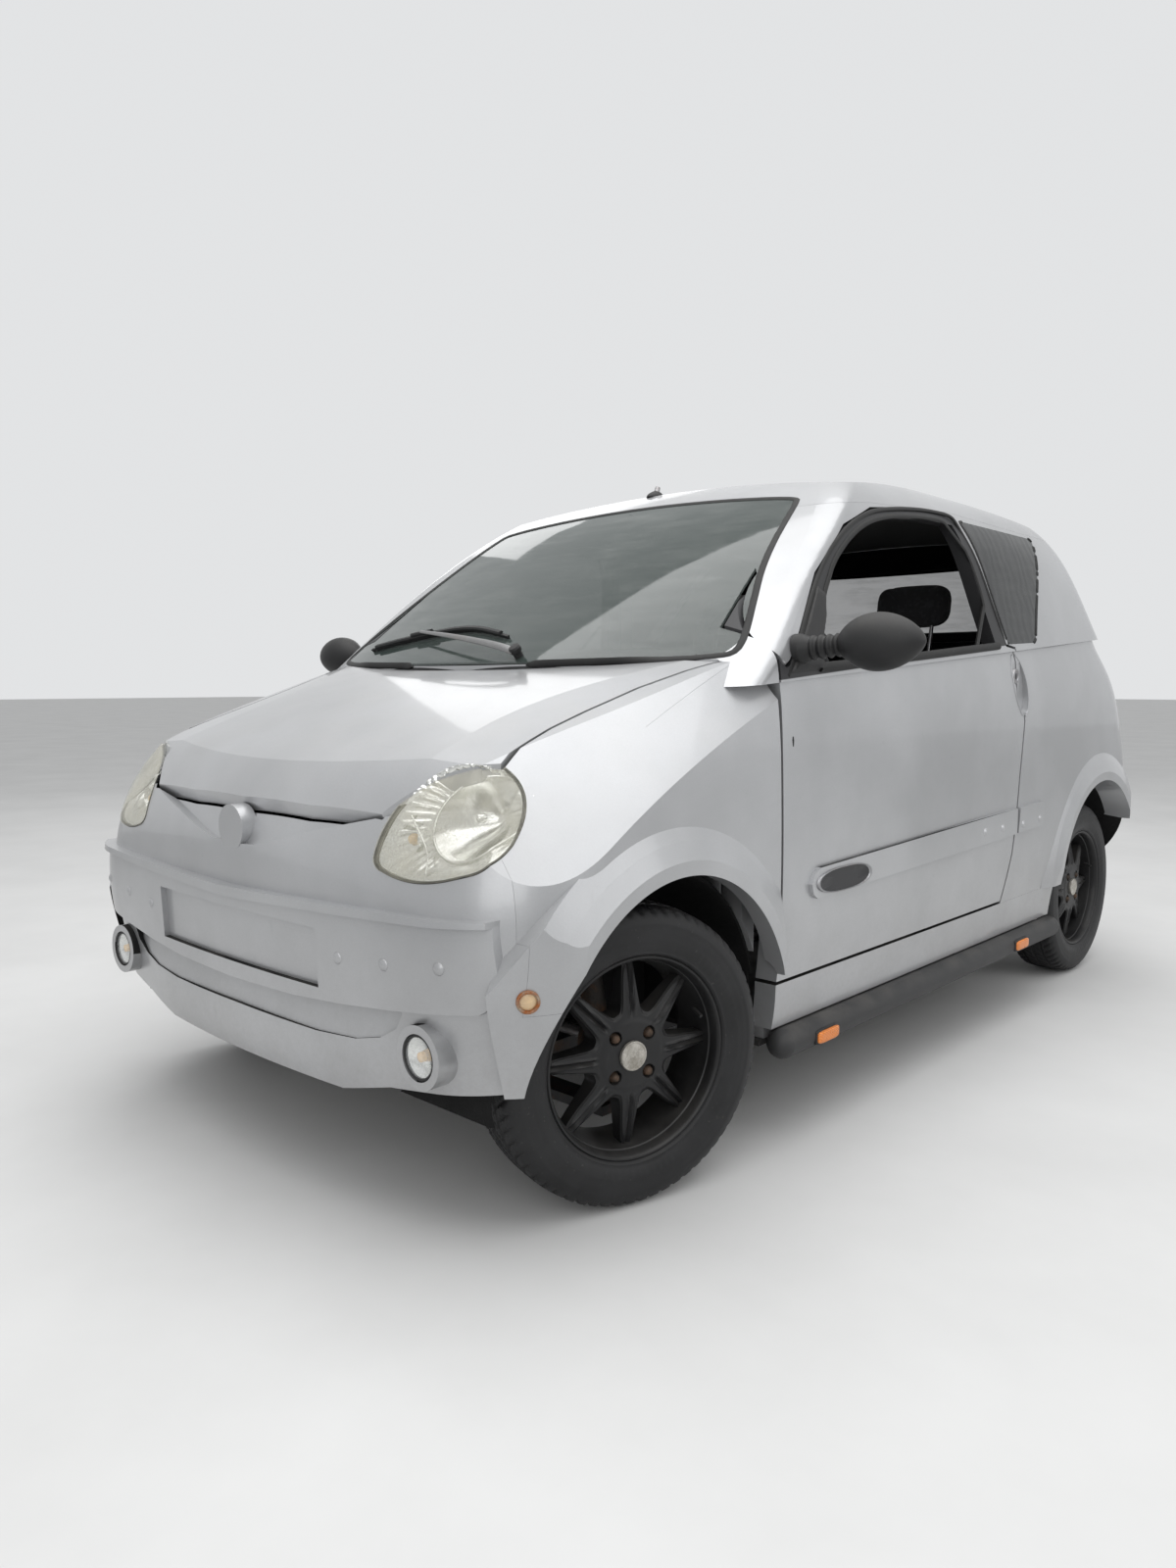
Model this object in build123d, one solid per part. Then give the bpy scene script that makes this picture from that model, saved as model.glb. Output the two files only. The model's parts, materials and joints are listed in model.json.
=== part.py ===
from build123d import *
import math
import os

# Microcar, two doors and a tailgate. Millimetres. +Z up, the nose points to -Y and the car's left side is +X.
# The origin is on the ground, in the middle of the length and of the width.
# A station is a distance behind the front axle. Heights are above the ground.

# Driving dimensions
overall_length = 3000.0
front_overhang = 455.0
wheelbase = 2113.0
tyre_radius = 266.5
tyre_width = 145.0
rim_radius = 181.0
rest_steer = 16.5
side_wall = 48.0
pillar_wall = 36.0
roof_wall = 26.0
hood_wall = 22.0
glass_wall = 6.0
shut_gap = 7.0
seat_gap = 0.3

front_axle = front_overhang - overall_length / 2
rear_axle = front_axle + wheelbase


def at_station(distance):
    """Y of a distance behind the front axle."""
    return front_axle + distance


# Lower body in plan. Columns: height, half width, nose, nose at the side, front corner radius,
# tail, tail at the side, rear corner radius. Noses and tails are stations.
tail_end = overall_length - front_overhang
lower_plans = [
    (212.0, 676.0, -408.0, -350.0, 190.0, tail_end - 60, tail_end - 130, 150.0),
    (380.0, 697.0, -428.0, -370.0, 200.0, tail_end - 20, tail_end - 95, 160.0),
    (540.0, 704.0, -433.5, -380.0, 200.0, tail_end, tail_end - 78, 170.0),
    (700.0, 702.0, -405.0, -313.0, 215.0, tail_end - 20, tail_end - 100, 190.0),
    (800.0, 699.0, -325.0, -232.0, 225.0, tail_end - 45, tail_end - 130, 205.0),
    (900.0, 692.0, -180.0, -90.0, 225.0, tail_end - 90, tail_end - 180, 215.0),
    (1100.0, 660.0, 140.0, 215.0, 215.0, tail_end - 238, tail_end - 345, 215.0),
]
# Cabin above the belt in plan, with the same columns.
upper_plans = [
    (880.0, 694.0, 30.0, 190.0, 50.0, tail_end - 85, tail_end - 190, 160.0),
    (1040.0, 670.0, 250.0, 372.0, 50.0, tail_end - 190, tail_end - 300, 160.0),
    (1200.0, 628.0, 480.0, 560.0, 50.0, tail_end - 305, tail_end - 400, 150.0),
    (1320.0, 578.0, 668.0, 722.0, 60.0, tail_end - 405, tail_end - 480, 140.0),
    (1385.0, 520.0, 790.0, 825.0, 60.0, tail_end - 480, tail_end - 540, 120.0),
    (1425.0, 430.0, 905.0, 935.0, 60.0, tail_end - 590, tail_end - 640, 100.0),
]
# Hood and fender tops across the car. Columns: station, middle height, crease half width and height,
# seam half width and height, height of the fender slope at the outer reach.
hood_sections = [
    (-470.0, 700.0, 360.0, 694.0, 470.0, 672.0, 330.0),
    (-280.0, 806.0, 422.0, 799.0, 536.0, 786.0, 468.0),
    (-50.0, 888.0, 425.0, 881.0, 588.0, 862.0, 610.0),
    (200.0, 959.0, 535.0, 951.0, 622.0, 938.0, 716.0),
    (460.0, 1005.0, 560.0, 1000.0, 650.0, 985.0, 790.0),
]
outer_reach = 800.0
# Roof across the car. Columns: station, middle height, height at the roof's edge.
roof_sections = [
    (-200.0, 1190.0, 1150.0),
    (500.0, 1350.0, 1312.0),
    (1200.0, 1434.0, 1400.0),
    (2150.0, 1378.0, 1345.0),
    (2700.0, 1270.0, 1235.0),
]
roof_edge = 560.0
# Seam under the roof panel: stations and heights
roof_rail = [(632.0, 1296.0), (860.0, 1322.0), (1290.0, 1350.0), (2045.0, 1338.0)]

# Belt line, where the lower body ends and the windows begin: stations and heights
belt_front = (200.0, 905.0)
belt_rear = (2600.0, 1078.0)

# Doors. The outline is a reach from the hinge pin and a height.
door_front = 316.0
door_pin_x = 680.0
door_pin = 340.0
door_outline = [
    (0.0, 338.0), (1041.0, 338.0), (1085.0, 463.0), (1119.0, 669.0), (1150.0, 810.0), (1118.0, 955.0), (1112.0, 1000.0),
    (1058.0, 1006.0), (985.0, 1240.0), (940.0, 1338.0), (780.0, 1335.0), (510.0, 1302.0), (350.0, 1246.0),
    (180.0, 1130.0), (45.0, 980.0), (0.0, 925.0),
]
hinge_heights = (470.0, 770.0)
hinge_height = 56.0
hinge_pin = 4.5
hinge_barrel = 9.0
pin_clear = 0.08
post_x = (590.0, 652.0)
post_stations = (262.0, 303.0)
door_edge_room = 39.0
# Window openings on the side: stations and heights
door_window = [
    (446.0, 948.0), (950.0, 983.0), (1332.0, 1012.0), (1262.0, 1312.0), (1100.0, 1310.0), (860.0, 1284.0),
    (705.0, 1232.0), (560.0, 1134.0),
]
quarter_window = [(1452.0, 1032.0), (1582.0, 1040.0), (1768.0, 1312.0), (1362.0, 1312.0)]
quarter_glass = [(1414.0, 1012.0), (1612.0, 1022.0), (1820.0, 1330.0), (1322.0, 1330.0)]
# Tailgate window from behind: half widths and heights
gate_window_low = (440.0, 1085.0)
gate_window_top = (385.0, 1295.0)
# Rear bumper seam and the end of the rear arch
rear_seam = 560.0
rear_arch_end = 2395.0
rear_middle = 557.0
sill_end = 1785.0
sill_low = 240.0
sill_leg = (634.0, 656.0)
tail_lamp_side = [(2440.0, 640.0), (2620.0, 640.0), (2620.0, 870.0), (2390.0, 870.0)]
# Windscreen seen from the front: half widths and heights
screen_bottom = (640.0, 962.0)
screen_waist = (538.0, 1165.0)
screen_top = (484.0, 1326.0)
screen_foot = 950.0
screen_head = 1352.0
screen_corner = 40.0

# Hood and tailgate hinge lines and swings
hood_pin = (90.0, 888.0)
# Hood seen from above: half widths and stations, from the rear corner to the nose corner
hood_rear_middle = 125.0
hood_plan = [
    (602.0, 238.0), (580.0, 176.0), (553.0, 67.0), (541.0, -60.0), (538.0, -143.0), (548.0, -262.0), (533.0, -288.0),
    (466.0, -320.0), (421.0, -353.0), (379.0, -382.0), (372.0, -480.0),
]
# Front edge of the hood: reaches from its hinge line and half widths
hood_nose = [(0.0, 700.0), (480.0, 700.0), (504.0, 379.0), (520.0, 200.0), (526.0, 1.0)]
# Room behind the hood's hinge line: reaches and half widths
hood_room = [
    (0.0, 563.0), (60.0, 575.0), (100.0, 588.0), (130.0, 598.0), (168.0, 613.0), (147.0, 530.0), (120.0, 450.0), (88.0, 300.0),
    (65.0, 1.0),
]
gate_pin = (2075.0, 1352.0)
gate_top_reach = 40.0
# Tailgate outline: reaches from the hinge line and half widths
gate_outline = [(0.0, 465.0), (420.0, 530.0), (700.0, 550.0), (855.0, 540.0)]

# Floor, rails and wheel housings
sheet = 6.0
floor_low = 199.7
floor_top = 211.7
floor_half = 655.0
floor_front = 170.0
floor_rear = 2440.0
bulkhead_station = 205.0
rail_x = 315.0
rail_width = 50.0
rail_low = 140.0
rail_front = -355.0
rail_drop = -165.0
rail_raised = (225.0, 265.0)
rail_rear = 2050.0
rail_crosses = (76.0, 250.0, 1150.0, 2000.0)
beam_half = 350.0
beam_top = 420.0
housing_inner = 362.0
housing_outer = 639.7
housing_foot = 631.0
wall_window = 150.0
tower_radius = 56.0
hood_ear = (150.0, 160.0)
gate_ear = (302.0, 312.0)

# Arches
arch_radius = 322.0
rear_arch_radius = 345.0
flare_width = 100.0
flare_out = 722.0
flare_proud = 21.5
arch_foot = -120.0
# Space under the front bumper: half widths and heights
bumper_under = [
    (-10.0, 100.0), (-10.0, 226.0), (300.0, 226.0), (420.0, 256.0), (520.0, 266.0), (640.0, 280.0), (900.0, 282.0), (900.0, 100.0),
]
# Forms of the nose on the left half, seen from the front: half widths and heights
block_proud = 11.0
bumper_block = [
    (-10.0, 372.0), (200.0, 376.0), (338.0, 385.0), (460.0, 397.0), (560.0, 409.0), (620.0, 414.0), (642.0, 430.0),
    (648.0, 475.0), (640.0, 550.0), (-10.0, 538.0),
]
bumper_ridge = [(-10.0, 525.5), (640.0, 549.0), (640.0, 559.0), (-10.0, 545.0)]
plate_recess = [(-10.0, 402.0), (275.0, 402.0), (275.0, 505.0), (-10.0, 505.0)]
air_scoop = [(-10.0, 720.0), (430.0, 720.0), (421.0, 702.0), (241.0, 664.0), (130.0, 636.0), (75.0, 624.0), (-10.0, 620.0)]
air_trough = [
    (-10.0, 322.0), (250.0, 320.0), (350.0, 326.0), (410.0, 340.0), (450.0, 362.0), (468.0, 392.0), (460.0, 402.0), (-10.0, 402.0),
]
recess_wall = 14.0
# Floors of the two recesses in plan, with the columns of the lower body
scoop_floor = [
    (600.0, 703.0, -428.0, -350.0, 208.0, tail_end, tail_end - 80, 180.0),
    (722.0, 702.0, -379.0, -287.0, 216.0, tail_end, tail_end - 80, 180.0),
]
trough_floor = [
    (316.0, 690.0, -424.0, -366.0, 195.0, tail_end, tail_end - 80, 160.0),
    (404.0, 690.0, -412.0, -354.0, 195.0, tail_end, tail_end - 80, 160.0),
]
# Round blank disc in the scoop: height, radius, front and back stations
disc = (649.0, 42.5, -431.0, -400.0)
# Fog lamp pods: half width, height, radii of the pod and of its hole, stations of the front and of the lamp's seat
fog_point = (515.0, 332.0)
fog_radii = (52.0, 38.0)
fog_stations = (-412.0, -394.0)
fog_depth = 11.0
# Rubbing strips on the door and behind it: stations and heights
strip_proud = 9.0
door_strip = [
    (430.0, 487.0), (1432.0, 514.0), (1432.0, 582.0), (440.0, 548.0), (418.0, 538.0), (408.0, 518.0), (414.0, 498.0),
]
quarter_strip = [(1442.0, 515.0), (1612.0, 519.0), (1620.0, 530.0), (1620.0, 576.0), (1612.0, 586.0), (1442.0, 582.0)]
# Dish round the door handle: station, height, half sizes, lean and the distance of its floor from the middle
handle_place = (1474.0, 905.0)
handle_half = (42.0, 82.0)
handle_lean = 18.0
handle_floor = 686.0
# Shut line between the front bumper and the fender: stations and heights
shut_top = (-322.0, 800.0)
shut_low = (-340.0, 415.0)
sill_top = 331.0
cowl_half = 630.0
lamp_tip_x = 398.0
lamp_back = -150.0

# Wheels and running gear
tread_half = 54.0
hub_radius = 62.0
hub_depth = 8.0
cap_radius = 26.0
lug_circle = 49.0
lug_radius = 9.0
lug_count = 4
spoke_count = 8
spoke_back = 22.0
spoke_depth = 20.0
window_half = 40.0
bell_radius = 36.0
ball_radius = 15.0
strut_radius = 22.0
spring_radius = 42.0
steer_arm = 90.0
engine_x = (-250.0, 90.0)
tie_radius = 8.0

# Side tubes, seats, steering wheel and mirrors
tube_x = 690.0
tube_z = 207.0
tube_radius = 30.0
tube_front = 350.0
tube_rear = 1760.0
tube_stays = (520.0, 1520.0)
seat_x = 325.0
wheel_x = 330.0
wheel_station = 790.0
wheel_z = 945.0
wheel_lean_y = 0.9
wheel_lean_z = 0.44
grip_radius = 176.0
mirror_in = 765.0
mirror_out = 940.0
mirror_belly = (850.0, 54.0)
mirror_station = 405.0
mirror_z = 988.0
dash_leg_half = 430.0

# Steering axis of the left wheel, from its lower ball to the strut's head
ball_point = (540.0, 165.0)
strut_head = (430.0, 740.0)
hub_offset = 592.0


def steering_axis(side):
    """Steering axis of one front wheel, pointing up."""
    low = Vector(side * ball_point[0], front_axle, ball_point[1])
    high = Vector(side * strut_head[0], front_axle, strut_head[1])
    return Axis(low, high - low)


def plan_face(row, inset):
    """One plan outline at its height: bowed front, bowed tail, straight sides and four round corners."""
    height, half, nose, nose_side, front_radius, tail, tail_side, rear_radius = row
    half = half - inset
    front = at_station(nose + inset)
    front_side = at_station(nose_side + inset)
    rear = at_station(tail - inset)
    rear_side = at_station(tail_side - inset)
    front_arc = ThreePointArc((-half, front_side), (0, front), (half, front_side))
    rear_arc = ThreePointArc((half, rear_side), (0, rear), (-half, rear_side))
    left = ThreePointArc((half, front_side), (half + 6, (front_side + rear_side) / 2), (half, rear_side))
    right = ThreePointArc((-half, rear_side), (-half - 6, (front_side + rear_side) / 2), (-half, front_side))
    face = make_face([front_arc, left, rear_arc, right])
    corners = face.vertices().sort_by(Axis.Y)
    face = fillet(corners[:2], max(front_radius - inset, 20))
    corners = [v for v in face.vertices() if abs(v.Y - rear_side) < 0.01]
    face = fillet(corners, max(rear_radius - inset, 20))
    return Pos(0, 0, height) * face


def plan_body(rows, inset=0.0):
    """Solid through the plan outlines of a table."""
    return loft([plan_face(row, inset) for row in rows])


def hood_face(row, drop):
    """One section across the hood and fender tops, standing at its station."""
    station, middle, crease_x, crease_z, seam_x, seam_z, reach_z = row
    crown = ThreePointArc((-crease_x, crease_z - drop), (0, middle - drop), (crease_x, crease_z - drop))
    rest = Polyline(
        (crease_x, crease_z - drop), (seam_x, seam_z - drop), (outer_reach, reach_z - drop), (outer_reach, 100),
        (-outer_reach, 100), (-outer_reach, reach_z - drop), (-seam_x, seam_z - drop), (-crease_x, crease_z - drop),
    )
    face = make_face([crown] + list(rest.edges()))
    return Plane(origin=(0, at_station(station), 0), x_dir=(1, 0, 0), z_dir=(0, -1, 0)) * face


def hood_top(drop=0.0):
    """Everything below the hood and the fender tops."""
    return loft([hood_face(row, drop) for row in hood_sections])


def roof_face(row, drop):
    """One section across the roof, standing at its station."""
    station, middle, edge = row
    slope = (middle - edge) * (outer_reach / roof_edge) ** 2
    crown = ThreePointArc((-outer_reach, middle - slope - drop), (0, middle - drop), (outer_reach, middle - slope - drop))
    rest = Polyline(
        (outer_reach, middle - slope - drop), (outer_reach, 700), (-outer_reach, 700), (-outer_reach, middle - slope - drop)
    )
    face = make_face([crown] + list(rest.edges()))
    return Plane(origin=(0, at_station(station), 0), x_dir=(1, 0, 0), z_dir=(0, -1, 0)) * face


def roof_top(drop=0.0):
    """Everything below the roof skin."""
    return loft([roof_face(row, drop) for row in roof_sections])


def side_prism(points, low=-900.0, high=900.0):
    """Prism across the car from an outline of stations and heights."""
    outline = Polyline(*[(at_station(station), height) for station, height in points], close=True)
    face = Plane(origin=(low, 0, 0), x_dir=(0, 1, 0), z_dir=(1, 0, 0)) * make_face(outline)
    return extrude(face, amount=high - low, dir=(1, 0, 0))


def front_prism(face, low, high):
    """Prism along the car from a face of half widths and heights, between two stations."""
    placed = Plane(origin=(0, at_station(high), 0), x_dir=(1, 0, 0), z_dir=(0, -1, 0)) * face
    return extrude(placed, amount=high - low, dir=(0, -1, 0))


def block(x0, x1, s0, s1, z0, z1):
    """Box between two X values, two stations and two heights."""
    return Pos((x0 + x1) / 2, at_station((s0 + s1) / 2), (z0 + z1) / 2) * Box(x1 - x0, s1 - s0, z1 - z0)


def rod(start, end, radius):
    """Round bar between two points."""
    a = Vector(*start)
    b = Vector(*end)
    return extrude(Plane(origin=a, z_dir=b - a) * Circle(radius), amount=(b - a).length)


def mirrored(shape):
    """The same shape on the car's other side."""
    return mirror(shape, about=Plane.YZ)


def ring(side, station, inner, outer, x0, x1):
    """Round ring about a wheel's centre, between two distances from the middle plane."""
    centre = Pos(side * (x0 + x1) / 2, at_station(station), tyre_radius) * Rot(0, 90, 0)
    return centre * (Cylinder(outer, abs(x1 - x0)) - Cylinder(inner, abs(x1 - x0) + 2))


def arch(station, radius):
    """Round space of one left wheel's opening, through the side of the body."""
    return Pos(690, at_station(station), tyre_radius) * Rot(0, 90, 0) * Cylinder(radius, 420)


def both(shape):
    """A shape and its mirror image, as one part."""
    return Part() + [shape, mirrored(shape)]


belt_drop = (belt_rear[1] - belt_front[1]) / (belt_rear[0] - belt_front[0])


def belt_height(station):
    """Height of the belt line at a station."""
    return belt_front[1] + belt_drop * (station - belt_front[0])


def line_face(points):
    """Flat face from a closed outline."""
    return make_face(Polyline(*points, close=True))


def turned_zone(points, grow, origin, direction, spread):
    """Ring of everything that an outline of reaches and places covers while it turns about a hinge line.

    spread is the direction in which the outline's second column runs along the hinge line.
    """
    outline = line_face(points)
    if grow:
        outline = offset(outline, amount=grow, kind=Kind.INTERSECTION)
        low = min(p[1] for p in points) - 2 * grow
        high = max(p[1] for p in points) + 2 * grow
        reach = max(p[0] for p in points) + 2 * grow
        outline = outline & (Pos(reach / 2, (low + high) / 2) * Rectangle(reach, high - low))
    placed = Plane(origin=origin, x_dir=direction, z_dir=Vector(*direction).cross(Vector(*spread))) * outline
    return revolve(placed, axis=Axis(origin, spread), revolution_arc=360)


# Envelopes: skins, the same pulled in by the walls, and what lies above and below the belt
lower_outer = plan_body(lower_plans)
lower_inner = plan_body(lower_plans, side_wall)
lower_thin = plan_body(lower_plans, hood_wall)
upper_outer = plan_body(upper_plans)
upper_inner = plan_body(upper_plans, pillar_wall)
upper_glass = plan_body(upper_plans, glass_wall)
under_hood = hood_top()
under_hood_inner = hood_top(hood_wall)
under_roof = roof_top()
under_roof_inner = roof_top(roof_wall)
far_front = -700.0
far_rear = 2900.0
far_low = 100.0
far_high = 1600.0
below_belt = side_prism(
    [(far_front, far_low), (far_front, belt_height(far_front)), (far_rear, belt_height(far_rear)), (far_rear, far_low)]
)
above_belt = side_prism(
    [(far_front, belt_height(far_front)), (far_front, far_high), (far_rear, far_high), (far_rear, belt_height(far_rear))]
)

nose = lower_outer & under_hood & block(-900, 900, far_front, door_front - shut_gap, far_low, far_high)
nose_shell = nose - (lower_thin & under_hood_inner)
cabin_skin = (lower_outer & below_belt) + (upper_outer & above_belt & under_roof)
cabin_space = (lower_inner & below_belt) + (upper_inner & above_belt & under_roof_inner)
cabin_shell = cabin_skin - cabin_space
rear_shell = cabin_shell & block(-900, 900, door_front - shut_gap, far_rear, far_low, far_high)


# Zones swept by the moving panels
def door_zone(grow=0.0):
    """Space of the left door, or the door opening when it is grown by the gap."""
    ring_zone = turned_zone(
        door_outline, grow, (door_pin_x, at_station(door_pin), 0), (0, 1, 0), (0, 0, 1)
    )
    inner = [(590 - grow, far_low), (590 - grow, 900), (500 - grow, 1345), (500 - grow, far_high), (900, far_high), (900, far_low)]
    return ring_zone & front_prism(line_face(inner), door_front - grow, 1600)


def mirrored_outline(half):
    """Closed outline of reaches and places from its positive half."""
    return half + [(reach, -width) for reach, width in reversed(half)]


hood_origin = (0, at_station(hood_pin[0]), hood_pin[1])


def hood_zone(grow=0.0):
    """Space of the hood, or its opening when it is grown by the gap."""
    swept = turned_zone(mirrored_outline(hood_nose), grow, hood_origin, (0, -1, 0), (1, 0, 0))
    rear_x, rear_s = hood_plan[0]
    edge = [(x, at_station(s)) for x, s in hood_plan]
    far_edge = [(-x, y) for x, y in reversed(edge)]
    rear = ThreePointArc((rear_x, at_station(rear_s)), (0, at_station(hood_rear_middle)), (-rear_x, at_station(rear_s)))
    plan = make_face([rear] + list(Polyline(*edge).edges()) + [Line(edge[-1], far_edge[0])] + list(Polyline(*far_edge).edges()))
    if grow:
        plan = offset(plan, amount=grow)
    return swept & extrude(Pos(0, 0, 560) * plan, amount=900)


def gate_zone(grow=0.0):
    """Space of the tailgate, or its opening when it is grown by the gap."""
    points = mirrored_outline(gate_outline)
    origin = (0, at_station(gate_pin[0]), gate_pin[1])
    ring_zone = turned_zone(points, grow, origin, (0, 1, 0), (1, 0, 0))
    top = Pos(*origin) * Rot(0, 90, 0) * Cylinder(gate_top_reach + grow, 2 * (gate_outline[0][1] + grow))
    behind = block(-900, 900, gate_pin[0], far_rear, far_low, far_high)
    return ring_zone & (behind + top)


door_opening = door_zone(shut_gap)
behind_hood = turned_zone(mirrored_outline(hood_room), 0, hood_origin, (0, -1, 0), (1, 0, 0))
behind_hood = behind_hood & block(-900, 900, hood_pin[0] - 2, 500, far_low, far_high)
hood_opening = hood_zone(shut_gap) + behind_hood
gate_opening = gate_zone(shut_gap)
arch_cut = both(arch(0, arch_radius)) + both(arch(wheelbase, rear_arch_radius))


def screen_prism(grow=0.0):
    """Prism of the windscreen, from its outline seen from the front."""
    low_x, low_z = screen_bottom
    mid_x, mid_z = screen_waist
    top_x, top_z = screen_top
    low_x, mid_x, top_x = low_x + grow, mid_x + grow, top_x + grow
    low_z, top_z = low_z - grow, top_z + grow
    outline = make_face([
        ThreePointArc((-low_x, low_z), (0, screen_foot - grow), (low_x, low_z)),
        Line((low_x, low_z), (mid_x, mid_z)),
        Line((mid_x, mid_z), (top_x, top_z)),
        ThreePointArc((top_x, top_z), (0, screen_head + grow), (-top_x, top_z)),
        Line((-top_x, top_z), (-mid_x, mid_z)),
        Line((-mid_x, mid_z), (-low_x, low_z)),
    ])
    corners = [v for v in outline.vertices() if abs(v.Y - mid_z) > 1]
    return front_prism(fillet(corners, screen_corner), -100, 1050)


screen_zone = screen_prism()
screen_opening = screen_prism(seat_gap)
roof_zone = side_prism(roof_rail + [(roof_rail[-1][0], far_high), (roof_rail[0][0], far_high)])
roof_clear = side_prism(
    [(s, z - seat_gap) for s, z in roof_rail] + [(far_rear, roof_rail[-1][1]), (far_rear, far_high)]
    + [(roof_rail[0][0] - seat_gap, far_high)]
)

parts = {}

# Nose: hood, front bumper with the nose panel, and fenders
lamp_shape = make_face([
    ThreePointArc((lamp_tip_x, 634), (413, 707), (449, 761)),
    ThreePointArc((449, 761), (502, 787), (550, 782)),
    ThreePointArc((550, 782), (597, 731), (621, 666)),
    ThreePointArc((621, 666), (612, 634), (584, 620)),
    ThreePointArc((584, 620), (500, 603), (424, 613)),
    ThreePointArc((424, 613), (406, 621), (lamp_tip_x, 634)),
])
lamp_prism = front_prism(lamp_shape, -520, lamp_back)
lamp_hole = front_prism(offset(lamp_shape, amount=seat_gap), -520, lamp_back + seat_gap)
parts["hood"] = nose_shell & hood_zone()
front_rest = nose_shell - hood_opening - both(lamp_hole) - arch_cut
lamps = (nose & lamp_prism) - hood_zone(shut_gap - seat_gap)
parts["headlamps"] = both(lamps)

bumper_side = side_prism([
    (far_front, far_low), (far_front, 900), (shut_top[0], 900), shut_top, shut_low, (arch_foot, shut_low[1]), (arch_foot, far_low),
])
fender_side = side_prism([
    (shut_top[0] + seat_gap, 1100), (shut_top[0] + seat_gap, shut_top[1]), (shut_low[0] + seat_gap, shut_low[1] + seat_gap),
    (arch_foot, shut_low[1] + seat_gap), (arch_foot, sill_top + seat_gap), (door_front, sill_top + seat_gap), (door_front, 1100),
])
flare_body = plan_body(lower_plans, -flare_proud)


def flare(station, inner):
    """Swollen lip round one left wheel's opening."""
    outer = inner + flare_width
    lip = line_face([
        (inner, 640), (inner, flare_out), (inner + 26, flare_out + 2), (outer - 40, flare_out - 8), (outer, 698), (outer, 640),
    ])
    placed = Plane(origin=(0, at_station(station), tyre_radius), x_dir=(0, 0, 1), z_dir=(0, 1, 0)) * lip
    round_lip = revolve(placed, axis=Axis((0, at_station(station), tyre_radius), (1, 0, 0)), revolution_arc=360)
    return round_lip & flare_body


front_flare = flare(0, arch_radius)
rear_flare = flare(wheelbase, rear_arch_radius)
left_half = block(0, 900, far_front, far_rear, far_low, far_high)
nose_left = (nose_shell & left_half) - hood_opening - lamp_hole - arch(0, arch_radius)
front_left = nose_left + (front_flare - lamp_hole - hood_opening)
front_left = front_left & block(0, 900, far_front, door_front - shut_gap, far_low, far_high)
fender = (front_left & fender_side) - (lower_thin & under_hood_inner)
cowl_zone = block(-cowl_half, cowl_half, 0, door_front, 700, far_high)
door_turn = Pos(door_pin_x, at_station(door_pin), 700) * Cylinder(door_edge_room, 900)
fender = fender - block(-900, cowl_half + seat_gap, 0, 900, far_low, far_high) - door_turn
parts["fender_left"] = fender
parts["fender_right"] = mirrored(parts["fender_left"])
cowl = front_rest & cowl_zone
bumper_left = front_left & bumper_side
bumper_left = bumper_left - front_prism(line_face(bumper_under), far_front, 200)


def on_nose(points):
    """Prism through the nose from an outline seen from the front, kept to the left half and the front."""
    return front_prism(line_face(points), far_front, shut_low[0] - 10) & left_half


lower_recess = plan_body(lower_plans, recess_wall)
block_body = plan_body(lower_plans, -block_proud)
raised_block = (block_body & on_nose(bumper_block)) - on_nose(plate_recess)
ridge = flare_body & on_nose(bumper_ridge)
bumper_left = bumper_left - (on_nose(air_trough) - plan_body(trough_floor)) - (on_nose(air_scoop) - plan_body(scoop_floor))
bumper_left = bumper_left + (raised_block - lower_recess) + (ridge - lower_recess)
disc_height, disc_radius, disc_front, disc_back = disc
blank_disc = rod((0, at_station(disc_back), disc_height), (0, at_station(disc_front), disc_height), disc_radius)
fog_x, fog_z = fog_point
fog_front, fog_seat = fog_stations
pod = rod((fog_x, at_station(-350), fog_z), (fog_x, at_station(fog_front), fog_z), fog_radii[0]) - lower_recess
fog_hole = rod((fog_x, at_station(fog_seat), fog_z), (fog_x, at_station(fog_front - 60), fog_z), fog_radii[1])
bumper_left = (bumper_left + (blank_disc & left_half) + pod) - fog_hole
parts["front_bumper"] = bumper_left + mirrored(bumper_left)
parts["fog_lamps"] = both(rod(
    (fog_x, at_station(fog_seat - seat_gap), fog_z), (fog_x, at_station(fog_seat - fog_depth), fog_z),
    fog_radii[1] - seat_gap,
))

# Doors
window_hole = side_prism(door_window, 300, 900)
hinge_room = [
    block(600, door_pin_x + 15, door_front - 10, door_pin + 32, z - 8, z + hinge_height + 8) for z in hinge_heights
]
handle_plane = Plane(origin=(handle_floor, 0, 0), x_dir=(0, 1, 0), z_dir=(1, 0, 0))
handle_shape = Pos(at_station(handle_place[0]), handle_place[1]) * Rot(0, 0, handle_lean) * Ellipse(*handle_half)
handle_dish = extrude(handle_plane * handle_shape, amount=100, dir=(1, 0, 0))
strip_body = plan_body(lower_plans, -strip_proud) - lower_recess
left_door_zone = door_zone()
door = (cabin_shell & left_door_zone) + (strip_body & side_prism(door_strip, 500, 900) & left_door_zone)
door = door - window_hole - handle_dish
for room in hinge_room:
    door = door - room


def barrel(low, radius, bore):
    """Upright hinge barrel on the left door's pin line."""
    tube = Cylinder(radius, hinge_height / 2 - 1)
    if bore:
        tube = tube - Cylinder(bore, hinge_height)
    return Pos(door_pin_x, at_station(door_pin), low + hinge_height / 4) * tube


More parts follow.
